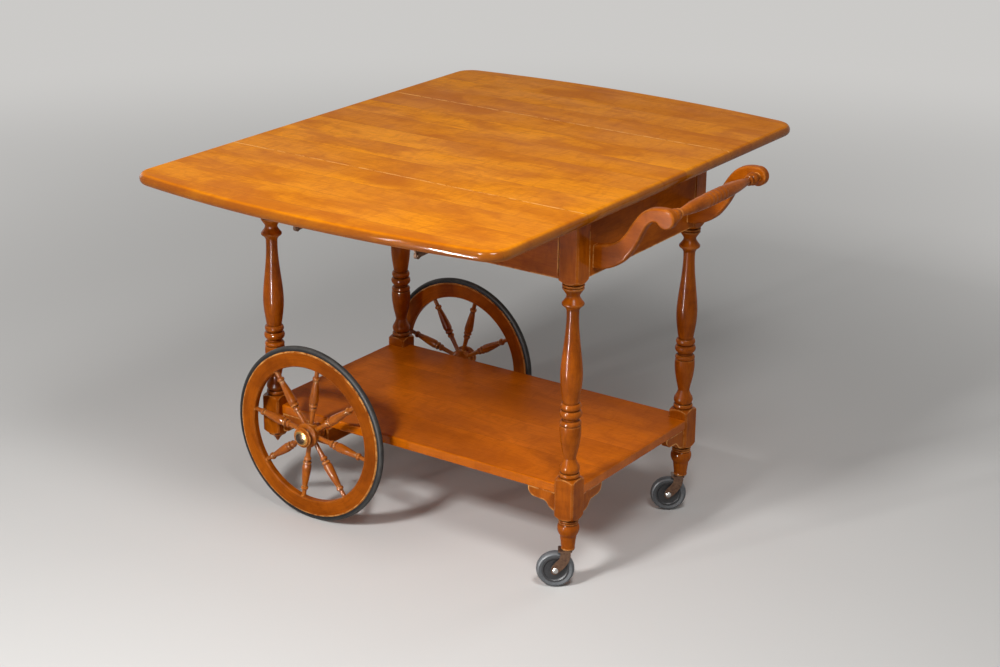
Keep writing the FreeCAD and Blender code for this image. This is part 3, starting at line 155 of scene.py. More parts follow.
def pale_rays(tree):
    """1 for rays that meet the pale backdrop, 0 for the light that reaches the trolley."""
    path = add(tree, "ShaderNodeLightPath")
    seen = math_node(tree, "MAXIMUM", path.outputs["Is Camera Ray"], path.outputs["Is Glossy Ray"])
    return math_node(tree, "MAXIMUM", seen, path.outputs["Is Transmission Ray"])


world = bpy.data.worlds.new("studio")
bpy.context.scene.world = world
world.use_nodes = True
sky = world.node_tree
sky.nodes.clear()
strength = ramp(sky, pale_rays(sky), 0.0, 1.0, WORLD_LIGHT, WORLD_SEEN)
background = add(sky, "ShaderNodeBackground", {"Color": WARM_WHITE, "Strength": strength})
add(sky, "ShaderNodeOutputWorld", {"Surface": background.outputs[0]})
print("world ready")

# %% [markdown]
# ## Floor
# A plain pale floor keeps the trolley's shadow. Far from the trolley it glows instead of being
# lit, so it runs into the backdrop without a seam. The glow is only for rays that look at the
# floor, so it adds no light to the wood.

# %% Floor
PALE = (0.60, 0.59, 0.575, 1)
FLOOR_HALF = 9.0
GLOW_START = 0.9
GLOW_FULL = 4.2

corners = [(x * FLOOR_HALF, y * FLOOR_HALF, 0) for x, y in ((-1, -1), (1, -1), (1, 1), (-1, 1))]
floor_mesh = bpy.data.meshes.new("floor")
floor_mesh.from_pydata(corners, [], [(0, 1, 2, 3)])
floor = bpy.data.objects.new("floor", floor_mesh)
bpy.context.scene.collection.objects.link(floor)
floor_finish, floor_tree = finish_of("pale_floor")
matte = add(floor_tree, "ShaderNodeBsdfDiffuse", {"Color": PALE})
glow = add(floor_tree, "ShaderNodeEmission", {"Color": PALE, "Strength": 1.0})
place = add(floor_tree, "ShaderNodeTexCoord").outputs["Object"]
away = add(floor_tree, "ShaderNodeVectorMath", {0: place}, operation="LENGTH").outputs["Value"]
glowing = ramp(floor_tree, away, GLOW_START, GLOW_FULL)
glowing = math_node(floor_tree, "MULTIPLY", glowing, pale_rays(floor_tree))
both = add(floor_tree, "ShaderNodeMixShader", {0: glowing, 1: matte.outputs[0], 2: glow.outputs[0]})
add(floor_tree, "ShaderNodeOutputMaterial", {"Surface": both.outputs[0]})
floor_mesh.materials.append(floor_finish)
print("floor ready")

# %% [markdown]
# ## Lamps
# The key lamp hangs high at the front: it lights the top and the lower parts of the legs, and
# leaves the rails under the top in its shadow. A second one over the handle end evens out the
# top. Two slim upright lamps draw the long highlights down the turnings; the lower of them is
# seen in the lacquer only and lights nothing. Two wide, weak lamps open the shadows behind and
# at the wheel end. The one behind is kept out of reflections, because it would lie on the top
# as a milky patch when the trolley is looked at from low down.

# %% Lamps
def lamp(name, place, target, size, power):
    """An area lamp of a given width and height that points at a target."""
    light = bpy.data.lights.new(name, "AREA")
    light.shape = "RECTANGLE"
    light.size, light.size_y = size
    light.energy = power
    made = bpy.data.objects.new(name, light)
    bpy.context.scene.collection.objects.link(made)
    made.location = place
    made.rotation_euler = (Vector(target) - Vector(place)).to_track_quat("-Z", "Y").to_euler()
    made.visible_camera = False
    return made


lamp("key", place=(-0.15, -2.55, 2.25), target=(0.05, -0.15, 0.5), size=(0.42, 0.42), power=74)
lamp("top", place=(1.2, -1.1, 2.25), target=(0.1, -0.2, 0.6), size=(0.6, 0.6), power=30)
lamp("strip", place=(-0.9, -2.6, 1.2), target=(0, 0, 0.5), size=(0.05, 1.2), power=12)
glint = lamp("glint", place=(-0.05, -1.25, 0.32), target=(0.2, 0, 0.32), size=(0.04, 0.62), power=36)
glint.visible_diffuse = False
back = lamp("back", place=(1.0, 3.0, 1.3), target=(0, 0, 0.45), size=(1.4, 1.4), power=22)
back.visible_glossy = False
lamp("side", place=(-3.0, 0.4, 1.2), target=(0, 0, 0.45), size=(1.4, 1.4), power=10)
print("six lamps")

# %% [markdown]
# ## Maple
# The wood is maple under a honey coloured lacquer. Its grain runs along each piece, so the
# pattern needs coordinates whose X runs along the grain. They are turned from the piece's own
# coordinates, and the pattern moves with a piece when it swings or rolls.

# %% Grain coordinates
GRAIN_TURNS = {"x": (0, 0, 0), "y": (0, 0, math.pi / 2), "z": (0, math.pi / 2, 0)}


def object_place(tree):
    """The place of a point in the piece's own coordinates."""
    return add(tree, "ShaderNodeTexCoord").outputs["Object"]


def grain_space(tree, direction):
    """Object coordinates turned so that their X runs along the grain."""
    inputs = {"Vector": object_place(tree), "Rotation": GRAIN_TURNS[direction]}
    return add(tree, "ShaderNodeMapping", inputs).outputs[0]


def stretched(tree, vector, along, across):
    """The vector squeezed to a pattern's scale along and across the grain."""
    return add(tree, "ShaderNodeMapping", {"Vector": vector, "Scale": (along, across, across)}).outputs[0]


def noise(tree, vector, detail=3.0, roughness=0.5, distortion=0.0):
    """A noise texture's value."""
    inputs = {"Vector": vector, "Scale": 1.0, "Detail": detail, "Roughness": roughness,
              "Distortion": distortion}
    return add(tree, "ShaderNodeTexNoise", inputs).outputs[0]


print("grain runs along", ", ".join(GRAIN_TURNS))

# %% [markdown]
# ### Figure
# Maple has no bold rings. What the eye reads is a cloudy figure, a slow drift of tone, a faint
# curl across the boards, fine fibres along the grain and tiny dark pores. Each is a noise
# texture that is squeezed across the grain, and each darkens the colour a little.

# %% Tones and layers
HONEY = ((0.83, 0.285, 0.004, 1), (0.42, 0.094, 0.002, 1), (0.105, 0.021, 0.002, 1))
RUSSET = ((0.60, 0.142, 0.003, 1), (0.29, 0.058, 0.001, 1), (0.060, 0.010, 0.001, 1))
AMBER = ((0.42, 0.097, 0.003, 1), (0.17, 0.032, 0.001, 1), (0.030, 0.005, 0.001, 1))
UMBER = ((0.50, 0.125, 0.004, 1), (0.20, 0.040, 0.001, 1), (0.018, 0.003, 0.001, 1))
RAW = ((0.60, 0.40, 0.20, 1), (0.46, 0.29, 0.13, 1), (0.28, 0.16, 0.07, 1))
# A pale tone for lacquer rubbed thin, also used as a painted highlight on crests.
WORN_AND_HIGHLIT = (0.84, 0.42, 0.12, 1)
CLOUD = ((6.5, 13.0), (4.0, 0.55, 0.5), (0.40, 0.66))
LAYERS = {
    # scale along and across the grain; detail, roughness, distortion; span of the noise; strength
    "drift": ((1.7, 5.0), (2.0, 0.5, 0.3), (0.35, 0.70), 0.35),
    "curl": ((60.0, 22.0), (3.0, 0.6, 0.8), (0.45, 0.70), 0.30),
    "fibre": ((26.0, 240.0), (3.0, 0.6, 0.0), (0.42, 0.66), 0.26),
    "thread": ((60.0, 800.0), (2.0, 0.6, 0.0), (0.45, 0.72), 0.16),
    "pore": ((260.0, 1600.0), (1.0, 0.5, 0.0), (0.66, 0.76), 0.30),
}
print(len(LAYERS) + 1, "layers of figure")


# %% Maple figure
def figure(tree, space, tones, cloudiness, size=1.0):
    """The wood's colour before its hollows, crests and edges are changed, and its fibres for the bump."""
    light, dark, stain = tones
    (along, across), kind, span = CLOUD
    cloud = noise(tree, stretched(tree, space, along / size, across / size), *kind)
    color = mix(tree, ramp(tree, cloud, *span, 0.0, cloudiness), light, dark)
    values = {}
    for layer, (scale, kind, span, amount) in LAYERS.items():
        values[layer] = noise(tree, stretched(tree, space, *scale), *kind)
        shade = stain if layer in ("thread", "pore") else dark
        color = mix(tree, ramp(tree, values[layer], *span, 0.0, amount), color, shade)
    return color, values["fibre"]


print("figure ready")

# %% [markdown]
# ### Age and painted light
# Stained lacquer gathers in hollows, and painted shade darkens them too; an Ambient Occlusion node
# finds them. Crests are lightened for lacquer rubbed thin and for a painted highlight; the same node
# finds them when it looks inside the wood. A patchy noise keeps the lightening from being even.

# %% Age, painted light and lacquer
COAT_ROUGHNESS = 0.07
FIBRE_HEIGHT = 0.0004


def aged(tree, color, stain, hollow_stain_and_shade, crest_wear_and_highlight, reach=0.006):
    """The colour darkened in hollows by stain and painted shade, and lightened on crests by thin lacquer and
    a painted highlight.
    """
    sky_seen = add(tree, "ShaderNodeAmbientOcclusion", {"Distance": reach}, samples=8, only_local=True)
    # Hollows take the darkest tone: partly stain, partly painted shade.
    deep = ramp(tree, sky_seen.outputs["AO"], 0.50, 0.99, hollow_stain_and_shade, 0.0)
    color = mix(tree, deep, color, stain)
    wood_seen = add(tree, "ShaderNodeAmbientOcclusion", {"Distance": reach * 0.6}, samples=8,
                    only_local=True, inside=True)
    # Crests take the pale tone: partly lacquer rubbed thin, partly a painted highlight.
    rubbed_and_highlit = ramp(tree, wood_seen.outputs["AO"], 0.55, 0.96, crest_wear_and_highlight, 0.0)
    patch = noise(tree, stretched(tree, object_place(tree), 70.0, 70.0), 3.0, 0.6)
    rubbed_and_highlit = math_node(tree, "MULTIPLY", rubbed_and_highlit, ramp(tree, patch, 0.30, 0.60))
    return mix(tree, rubbed_and_highlit, color, WORN_AND_HIGHLIT)


def uneven(tree, space, scale, low, high):
    """A roughness that wanders between two values, as on a surface that was worked by hand."""
    return ramp(tree, noise(tree, stretched(tree, space, *scale), 3.0), 0.3, 0.7, low, high)


def lacquered(tree, color, fibre, rough, coat, specular):
    """Joins the colour to a lacquered surface with its fibres just felt through the lacquer."""
    shader = add(tree, "ShaderNodeBsdfPrincipled", {
        "Base Color": color, "IOR": 1.45, "Coat Weight": coat, "Coat Roughness": COAT_ROUGHNESS,
        "Specular IOR Level": specular, "Roughness": rough})
    bump = add(tree, "ShaderNodeBump", {"Height": fibre, "Strength": 0.12, "Distance": FIBRE_HEIGHT})
    join(tree, bump.outputs[0], shader.inputs["Normal"])
    add(tree, "ShaderNodeOutputMaterial", {"Surface": shader.outputs[0]})


print("age and lacquer ready")

# %% [markdown]
# ## Boards
# The top and the shelf are glued up from strips of maple, so the pattern is shifted and toned
# strip by strip, and a thin dark line lies between two strips. Along the leaf joints the
# leaves have chipped the lacquer off the upper corners, and bare wood shows.

# %% Glued strips
STRIP_SHIFT = (3.0, 2.0, 5.0)
GLUE_LINE = 0.0006
GLUE_LINE_CORE = 0.0001


def strips(tree, space, width):
    """Shifts the pattern strip by strip, and gives each strip's tone and the lines between them."""
    parts = add(tree, "ShaderNodeSeparateXYZ", {"Vector": space}).outputs
    row = math_node(tree, "DIVIDE", parts["Y"], width)
    number = math_node(tree, "FLOOR", row)
    chance = add(tree, "ShaderNodeTexWhiteNoise", {"W": number}, noise_dimensions="1D").outputs
    shift = add(tree, "ShaderNodeVectorMath", {0: chance["Color"], 1: STRIP_SHIFT}, operation="MULTIPLY")
    moved = add(tree, "ShaderNodeVectorMath", {0: space, 1: shift.outputs[0]}, operation="ADD").outputs[0]
    inside = math_node(tree, "ABSOLUTE", math_node(tree, "SUBTRACT", math_node(tree, "FRACT", row), 0.5))
    line = ramp(tree, inside, 0.5 - GLUE_LINE / width, 0.5 - GLUE_LINE_CORE / width)
    return moved, chance["Value"], line


print("glued strips ready")


# %% Worn leaf joints
NARROWEST_CHIP = 0.0003
WIDEST_CHIP = 0.0021
leaf_joint = pivots["far_leaf_hinge"].y
top_face = max(corner.co.z for corner in nodes["top_center"].data.vertices)


def worn_joint(tree, color):
    """The colour with the lacquer chipped off the upper corners of the leaf joints."""
    parts = add(tree, "ShaderNodeSeparateXYZ", {"Vector": object_place(tree)}).outputs
    sideways = math_node(tree, "ABSOLUTE", parts["Y"])
    away = math_node(tree, "ABSOLUTE", math_node(tree, "SUBTRACT", sideways, leaf_joint))
    deep = math_node(tree, "SUBTRACT", top_face, parts["Z"])
    chips = noise(tree, stretched(tree, object_place(tree), 55.0, 90.0), 4.0, 0.65)
    reach = ramp(tree, chips, 0.36, 0.66, NARROWEST_CHIP, WIDEST_CHIP)
    bare = math_node(tree, "LESS_THAN", math_node(tree, "MAXIMUM", away, deep), reach)
    return mix(tree, math_node(tree, "MULTIPLY", bare, 0.75), color, WORN_AND_HIGHLIT)


print("leaf joints at y =", round(leaf_joint, 4))


# %% Board maple
def board_maple(name, width, tones, cloudiness, edge_darkening, jointed):
    """Maple in glued strips, darker and shinier on the rounded edges, where the surface does not face up or
    down.
    """
    material, tree = finish_of(name)
    space, tone, line = strips(tree, grain_space(tree, "x"), width)
    color, fibre = figure(tree, space, tones, cloudiness)
    color = mix(tree, math_node(tree, "MULTIPLY", tone, 0.30), color, tones[1])
    color = mix(tree, math_node(tree, "MULTIPLY", line, 0.45), color, tones[2])
    normal = add(tree, "ShaderNodeNewGeometry").outputs["Normal"]
    upright = add(tree, "ShaderNodeSeparateXYZ", {"Vector": normal}).outputs["Z"]
    edge = ramp(tree, math_node(tree, "ABSOLUTE", upright), 0.60, 0.985, 1.0, 0.0)
    # Faces that turn sideways, such as the rounded edges, are darkened towards the darkest tone.
    color = mix(tree, math_node(tree, "MULTIPLY", edge, edge_darkening), color, tones[2])
    if jointed:
        color = worn_joint(tree, color)
    rough = uneven(tree, space, (6.0, 9.0), 0.30, 0.42)
    rough = math_node(tree, "SUBTRACT", rough, math_node(tree, "MULTIPLY", edge, 0.16))
    lacquered(tree, color, fibre, rough, coat=math_node(tree, "MULTIPLY", edge, 0.35), specular=0.02)
    return material


top_maple = board_maple("honey_maple_top", 0.083, HONEY, cloudiness=0.62, edge_darkening=0.65, jointed=True)
shelf_maple = board_maple("russet_maple_shelf", 0.104, RUSSET, cloudiness=0.45, edge_darkening=0.0, jointed=False)
print("boards:", top_maple.name, shelf_maple.name)

# %% [markdown]
# ## Turned and sawn pieces
# Legs, arms, rails and hubs are single pieces of wood, so they need no strips. Their shapes have
# many hollows and crests, where age, painted shade and painted highlights show. The rails under
# the top are dull, because nobody polishes them. The cleats inside were never lacquered.

# %% Turned and sawn maple
def plain_maple(name, direction, tones=AMBER, hollow_stain_and_shade=0.85, crest_wear_and_highlight=0.8, dull=0.20, coat=0.14, specular=0.03):
    """Maple for rails, arms and turnings, with its grain along a direction."""
    material, tree = finish_of(name)
    space = grain_space(tree, direction)
    color, fibre = figure(tree, space, tones, cloudiness=0.6, size=0.6)
    color = aged(tree, color, tones[2], hollow_stain_and_shade, crest_wear_and_highlight)
    lacquered(tree, color, fibre, uneven(tree, space, (9.0, 14.0), dull - 0.04, dull + 0.08), coat, specular)
    return material


rail_maple = plain_maple("rail_maple", "x", dull=0.34, coat=0.02, specular=0.02)
end_rail_maple = plain_maple("end_rail_maple", "y", dull=0.34, coat=0.02, specular=0.02)
arm_maple = plain_maple("arm_maple", "x", dull=0.26, coat=0.08, specular=0.02)
spindle_maple = plain_maple("spindle_maple", "y")
turned_maple = plain_maple("turned_maple", "z")
hub_maple = plain_maple("hub_maple", "y", UMBER)
raw_maple = plain_maple("raw_maple", "x", RAW, hollow_stain_and_shade=0.2, crest_wear_and_highlight=0.0, dull=0.6, coat=0.0, specular=0.3)
print("seven finishes for turned and sawn pieces")

# %% [markdown]
# ## Bent rims
# A wheel's rim is a strip of maple that is bent to a ring, so its grain goes round the axle.
# The angle about the axle times a radius is the distance along the grain, and the seam of
# that angle is at the lowest point, where the strip's two ends meet.

# %% Rim maple
RIM_RADIUS = 0.155
axle_x, _, axle_z = pivots["near_wheel_axle"]


def about_axle(tree):
    """Sideways, axial and upright distances from the wheels' axle."""
    inputs = {"Vector": object_place(tree), "Location": (-axle_x, 0, -axle_z)}
    centred = add(tree, "ShaderNodeMapping", inputs).outputs[0]
    return add(tree, "ShaderNodeSeparateXYZ", {"Vector": centred}).outputs


def axle_radius(tree, parts):
    """Distance from the axle's middle line."""
    square = math_node(tree, "ADD", math_node(tree, "MULTIPLY", parts["X"], parts["X"]),
                       math_node(tree, "MULTIPLY", parts["Z"], parts["Z"]))
    return math_node(tree, "SQRT", square)


def rim_maple(name):
    """Maple with its grain round the axle."""
    material, tree = finish_of(name)
    parts = about_axle(tree)
    angle = math_node(tree, "ARCTAN2", parts["X"], parts["Z"])
    along = math_node(tree, "MULTIPLY", angle, RIM_RADIUS)
    inputs = {"X": along, "Y": axle_radius(tree, parts), "Z": parts["Y"]}
    space = add(tree, "ShaderNodeCombineXYZ", inputs).outputs[0]
    color, fibre = figure(tree, space, AMBER, cloudiness=0.6, size=0.7)
    color = aged(tree, color, AMBER[2], hollow_stain_and_shade=0.8, crest_wear_and_highlight=0.6, reach=0.004)
    lacquered(tree, color, fibre, uneven(tree, space, (9.0, 14.0), 0.28, 0.40), coat=0.03, specular=0.03)
    return material


ring_maple = rim_maple("bent_maple")
print("axle at", round(axle_x, 4), round(axle_z, 4))

# %% [markdown]
# ## Metal and casters
# The fittings are small, so their finish is kept simple: a base colour with fine mottling, and
# a roughness that the same mottling changes. The stays are bronzed steel, the hinges dull
# brass, and the casters have grey rubber tyres on dark discs.

# %% Metal and caster finishes
def plain_finish(name, light, dark, metal, rough, scale, bump=0.0):
    """A finish with fine mottling in its colour, roughness and, where bump is given, its surface."""
    material, tree = finish_of(name)
    speck = noise(tree, stretched(tree, object_place(tree), scale, scale), 4.0, 0.6)
    color = mix(tree, ramp(tree, speck, 0.25, 0.75), (*dark, 1), (*light, 1))
    roughness = ramp(tree, speck, 0.3, 0.7, rough + 0.08, rough - 0.05)
    shader = add(tree, "ShaderNodeBsdfPrincipled", {"Base Color": color, "Metallic": metal,
                                                    "Roughness": roughness})
    if bump:
        surface = add(tree, "ShaderNodeBump", {"Height": speck, "Strength": 0.3, "Distance": bump})
        join(tree, surface.outputs[0], shader.inputs["Normal"])
    add(tree, "ShaderNodeOutputMaterial", {"Surface": shader.outputs[0]})
    return material


caster_rubber = plain_finish("caster_rubber", light=(0.105, 0.112, 0.120), dark=(0.070, 0.076, 0.083),
                             metal=0.0, rough=0.50, scale=220, bump=0.0002)
caster_disc = plain_finish("caster_disc", light=(0.040, 0.040, 0.043), dark=(0.022, 0.022, 0.024),
                           metal=0.0, rough=0.38, scale=300)
bronzed_steel = plain_finish("bronzed_steel", light=(0.20, 0.115, 0.070), dark=(0.085, 0.045, 0.030),
                             metal=0.75, rough=0.38, scale=180)
plain_steel = plain_finish("plain_steel", light=(0.56, 0.55, 0.53), dark=(0.40, 0.39, 0.37),
                           metal=1.0, rough=0.30, scale=400)
dull_brass = plain_finish("dull_brass", light=(0.66, 0.47, 0.20), dark=(0.42, 0.27, 0.10),
                          metal=1.0, rough=0.34, scale=240)
print("five finishes for metal and casters")

# %% [markdown]
# ## Tyres
# The wheels' tyres are black rubber. The crown that meets the floor is scuffed and dusty, and
# the sides stay dark, so the distance from the axle decides how grey the rubber is. The axle's
# height above the floor is also the wheel's outer radius.

# %% Tyre rubber
CROWN_START = 0.0075
CROWN_FULL = 0.0015


def tyre_finish(name):
    """Black rubber, dusty grey on its crown and dark where it meets the rim."""
    material, tree = finish_of(name)
    radius = axle_radius(tree, about_axle(tree))
    dust = noise(tree, stretched(tree, object_place(tree), 60.0, 60.0), 4.0, 0.65)
    speck = noise(tree, stretched(tree, object_place(tree), 420.0, 420.0), 3.0, 0.6)
    crown = ramp(tree, radius, axle_z - CROWN_START, axle_z - CROWN_FULL)
    worn = math_node(tree, "MULTIPLY", crown, ramp(tree, dust, 0.25, 0.75, 0.35, 1.0))
    color = mix(tree, worn, (0.010, 0.010, 0.011, 1), (0.060, 0.057, 0.052, 1))
    color = mix(tree, ramp(tree, speck, 0.45, 0.70, 0.0, 0.35), color, (0.030, 0.030, 0.030, 1))
    rough = ramp(tree, worn, 0.0, 1.0, 0.42, 0.66)
    shader = add(tree, "ShaderNodeBsdfPrincipled", {"Base Color": color, "Specular IOR Level": 0.2,
                                                    "Roughness": rough})
    surface = add(tree, "ShaderNodeBump", {"Height": speck, "Strength": 0.3, "Distance": 0.0002})
    join(tree, surface.outputs[0], shader.inputs["Normal"])
    add(tree, "ShaderNodeOutputMaterial", {"Surface": shader.outputs[0]})
    return material


tyre_rubber = tyre_finish("tyre_rubber")
print("tyre finish made")

# %% [markdown]
# ## Hub buttons
# A domed brass button closes each hub. Its rim carries a painted highlight, and its crown is dark
# brown, so the button's colour also follows the distance from the axle, with a patchy patina over it.

# %% Brass with a painted highlight
CROWN_RADIUS = 0.0095
HIGHLIGHT_RADIUS = 0.0125


def button_finish(name):
    """A brass button: a painted highlight round its rim, dark brown on its crown."""
    material, tree = finish_of(name)
    radius = axle_radius(tree, about_axle(tree))
    patina = noise(tree, stretched(tree, object_place(tree), 150.0, 150.0), 4.0, 0.6)
    # The bright rim is a painted highlight; the crown stays dark brown.
    rim = ramp(tree, radius, CROWN_RADIUS, HIGHLIGHT_RADIUS)
    color = mix(tree, rim, (0.085, 0.055, 0.038, 1), (0.46, 0.28, 0.09, 1))
    color = mix(tree, ramp(tree, patina, 0.40, 0.68, 0.0, 0.5), color, (0.06, 0.038, 0.024, 1))
    rough = ramp(tree, patina, 0.3, 0.7, 0.22, 0.42)
    shader = add(tree, "ShaderNodeBsdfPrincipled", {"Base Color": color, "Metallic": 1.0, "Roughness": rough})
    add(tree, "ShaderNodeOutputMaterial", {"Surface": shader.outputs[0]})
    return material


aged_brass_painted_highlight = button_finish("aged_brass_painted_highlight")
print("button finish made")

# %% [markdown]
# ## Turned spokes
# A spoke is turned on a lathe: its shape is one outline that goes round the spoke's own line.
# The outline is written as runs of points, each with its distance from the axle and its radius
# in millimetres. A run of three or more points is a smooth curve, and between two runs the
# outline has a crisp step, as a chisel leaves it.

# %% Outline of a spoke
MM = 0.001
STEPS = 5


def smooth_run(points):
    """Points of a smooth curve through a run of outline points; a pair stays straight."""
    if len(points) < 3:
        return points
    padded = [points[0]] + points + [points[-1]]
    curve = []
    for before, start, end, after in zip(padded, padded[1:], padded[2:], padded[3:]):
        for step in range(STEPS):
            t = step / STEPS
            curve.append(tuple(0.5 * (2 * b + (c - a) * t + (2 * a - 5 * b + 4 * c - d) * t ** 2
                                      + (3 * b - a - 3 * c + d) * t ** 3)
                               for a, b, c, d in zip(before, start, end, after)))
    return curve + [points[-1]]


SPOKE_RUNS = [
    [(12.0, 3.5), (21.2, 3.5)],
    [(21.4, 4.55), (35.0, 4.55), (50.8, 5.1)],
    [(51.6, 6.2), (53.0, 7.0), (54.9, 7.3), (56.8, 7.0), (58.2, 6.0)],
    [(59.0, 5.45), (59.8, 5.65)],
    [(60.0, 5.9), (61.2, 7.8), (63.3, 8.65), (65.6, 8.1), (66.9, 7.1)],
    [(67.4, 7.45), (72.5, 9.1), (83.0, 8.65), (98.2, 7.3), (113.4, 5.45)],
    [(114.2, 4.9), (115.3, 5.65), (116.4, 4.9)],
    [(116.9, 5.1), (118.3, 6.8), (120.7, 7.3), (123.0, 6.8), (124.4, 5.1)],
    [(125.5, 4.3), (146.9, 4.3)],
]
spoke_outline = [point for run in SPOKE_RUNS for point in smooth_run(run)]
print(len(spoke_outline), "outline points")

# %% [markdown]
# ### Geometry Nodes
# A geometry tree is a recipe with named inputs. It is run once through a modifier, and its
# result is kept as a plain mesh, so nothing has to be worked out again later.

# %% Geometry node helpers
def node_group(name, inputs):
    """A geometry node tree with a geometry input, named inputs and a geometry output."""
    tree = bpy.data.node_groups.new(name, "GeometryNodeTree")
    tree.is_modifier = True
    face = tree.interface
    face.new_socket("Geometry", in_out="INPUT", socket_type="NodeSocketGeometry")
    for label, kind in inputs.items():
        face.new_socket(label, in_out="INPUT", socket_type="NodeSocket" + kind)
    face.new_socket("Geometry", in_out="OUTPUT", socket_type="NodeSocketGeometry")
    return tree, tree.nodes.new("NodeGroupInput").outputs


def smooth_by_angle(tree, geometry, degrees):
    """Shades faces smooth and keeps edges sharp where two faces meet at more than the angle."""
    angle = add(tree, "GeometryNodeInputMeshEdgeAngle").outputs["Unsigned Angle"]
    soft = math_node(tree, "LESS_THAN", angle, math.radians(degrees))
    faces = add(tree, "GeometryNodeSetShadeSmooth", {"Geometry": geometry}, domain="FACE").outputs[0]
    inputs = {"Geometry": faces, "Shade Smooth": soft}
    return add(tree, "GeometryNodeSetShadeSmooth", inputs, domain="EDGE").outputs[0]


def marked(tree, geometry, name, value, kind, domain="POINT"):
    """Stores a value on the geometry under a name."""
    inputs = {"Geometry": geometry, "Name": name, "Value": value}
    return add(tree, "GeometryNodeStoreNamedAttribute", inputs, data_type=kind, domain=domain).outputs[0]


def grown(name, mesh, tree, values):
    """Runs a geometry tree on a mesh and returns the result as a plain object."""
    seed = bpy.data.objects.new(name + "_seed", mesh)
    bpy.context.scene.collection.objects.link(seed)
    modifier = seed.modifiers.new("nodes", "NODES")
    modifier.node_group = tree
    for item in tree.interface.items_tree:
        if item.in_out == "INPUT" and item.name in values:
            modifier[item.identifier] = values[item.name]
    ready = seed.evaluated_get(bpy.context.evaluated_depsgraph_get())
    plain = bpy.data.meshes.new_from_object(ready, preserve_all_data_layers=True,
                                            depsgraph=bpy.context.evaluated_depsgraph_get())
    bpy.data.objects.remove(seed)
    made = bpy.data.objects.new(name, plain)
    bpy.context.scene.collection.objects.link(made)
    return made


print("geometry helpers ready")

# %% [markdown]
# ### The spoke ring
# Curve to Mesh does a lathe's work: it sweeps a circle along the spoke's line and scales it by
# the curve's radius. Instance on Points then sets eight copies round the axle, which is how a
# wheelwright thinks of them, and a number on each copy lets its grain differ.

# %% Spoke ring tree
def turned_spoke(tree, given):
    """One spoke that stands on the axle, with its place along the grain stored on it."""
    place = add(tree, "GeometryNodeInputPosition").outputs[0]
    parts = add(tree, "ShaderNodeSeparateXYZ", {0: place}).outputs
    line = add(tree, "GeometryNodeMeshToCurve", {0: given["Geometry"]}).outputs[0]
    line = add(tree, "GeometryNodeSetCurveRadius", {"Curve": line, "Radius": parts["X"]}).outputs[0]
    upright = add(tree, "ShaderNodeCombineXYZ", {"Z": parts["Z"]}).outputs[0]
    line = add(tree, "GeometryNodeSetPosition", {"Geometry": line, "Position": upright}).outputs[0]
    circle = add(tree, "GeometryNodeCurvePrimitiveCircle", {"Resolution": given["Sides"], "Radius": 1.0})
    radius = add(tree, "GeometryNodeInputRadius").outputs[0]
    sweep = add(tree, "GeometryNodeCurveToMesh", {"Curve": line, "Profile Curve": circle.outputs[0],
                                                  "Scale": radius, "Fill Caps": True}).outputs[0]
    grain = add(tree, "ShaderNodeCombineXYZ", {"X": parts["Z"], "Y": parts["X"], "Z": parts["Y"]}).outputs[0]
    return smooth_by_angle(tree, marked(tree, sweep, "grain", grain, "FLOAT_VECTOR"), 32)


def spoke_ring():
    """Turns an outline into a spoke and sets copies of it round an axle along Y."""
    tree, given = node_group("spoke_ring", {"Sides": "Int", "Count": "Int", "First Turn": "Float",
                                            "Centre": "Vector", "Finish": "Material"})
    spoke = turned_spoke(tree, given)
    points = add(tree, "GeometryNodePoints", {"Count": given["Count"]}).outputs[0]
    index = add(tree, "GeometryNodeInputIndex").outputs[0]
    step = math_node(tree, "DIVIDE", math.tau, given["Count"])
    turn = math_node(tree, "ADD", given["First Turn"], math_node(tree, "MULTIPLY", index, step))
    about = add(tree, "ShaderNodeCombineXYZ", {"Y": turn}).outputs[0]
    copies = {"Points": points, "Instance": spoke, "Rotation": about}
    ring = add(tree, "GeometryNodeInstanceOnPoints", copies).outputs[0]
    numbered = marked(tree, ring, "number", index, "FLOAT", "INSTANCE")
    whole = add(tree, "GeometryNodeRealizeInstances", {0: numbered}).outputs[0]
    moved = add(tree, "GeometryNodeTransform", {"Geometry": whole, "Translation": given["Centre"]})
    finished = add(tree, "GeometryNodeSetMaterial", {"Geometry": moved.outputs[0],
                                                     "Material": given["Finish"]})
    add(tree, "NodeGroupOutput", {0: finished.outputs[0]})
    return tree


ring_tree = spoke_ring()
print("spoke ring tree has", len(ring_tree.nodes), "nodes")

# %% [markdown]
# ### Spoke maple
# Every spoke comes from its own piece of wood, and its grain runs along its own length. The
# stored grain place gives that direction, and the stored number shifts the figure and changes
# the tone, so that no two spokes are the same.

# %% Spoke maple
FIGURE_STEPS = (0.73, 0.31)


def spoke_maple(name):
    """Maple that follows each spoke's own length, with another figure in every spoke."""
    material, tree = finish_of(name)
    grain = add(tree, "ShaderNodeAttribute", attribute_name="grain").outputs["Vector"]
    number = add(tree, "ShaderNodeAttribute", attribute_name="number").outputs["Fac"]
    along, across = (math_node(tree, "MULTIPLY", number, step) for step in FIGURE_STEPS)
    shift = add(tree, "ShaderNodeCombineXYZ", {"X": along, "Y": across}).outputs[0]
    space = add(tree, "ShaderNodeVectorMath", {0: grain, 1: shift}, operation="ADD").outputs[0]
    color, fibre = figure(tree, space, UMBER, cloudiness=0.6, size=0.5)
    tone = add(tree, "ShaderNodeTexWhiteNoise", {"W": number}, noise_dimensions="1D").outputs["Value"]
    color = mix(tree, math_node(tree, "MULTIPLY", tone, 0.35), color, UMBER[1])
    color = aged(tree, color, UMBER[2], hollow_stain_and_shade=0.95, crest_wear_and_highlight=0.95)
    lacquered(tree, color, fibre, uneven(tree, space, (9.0, 30.0), 0.20, 0.32), coat=0.40, specular=0.04)
    return material


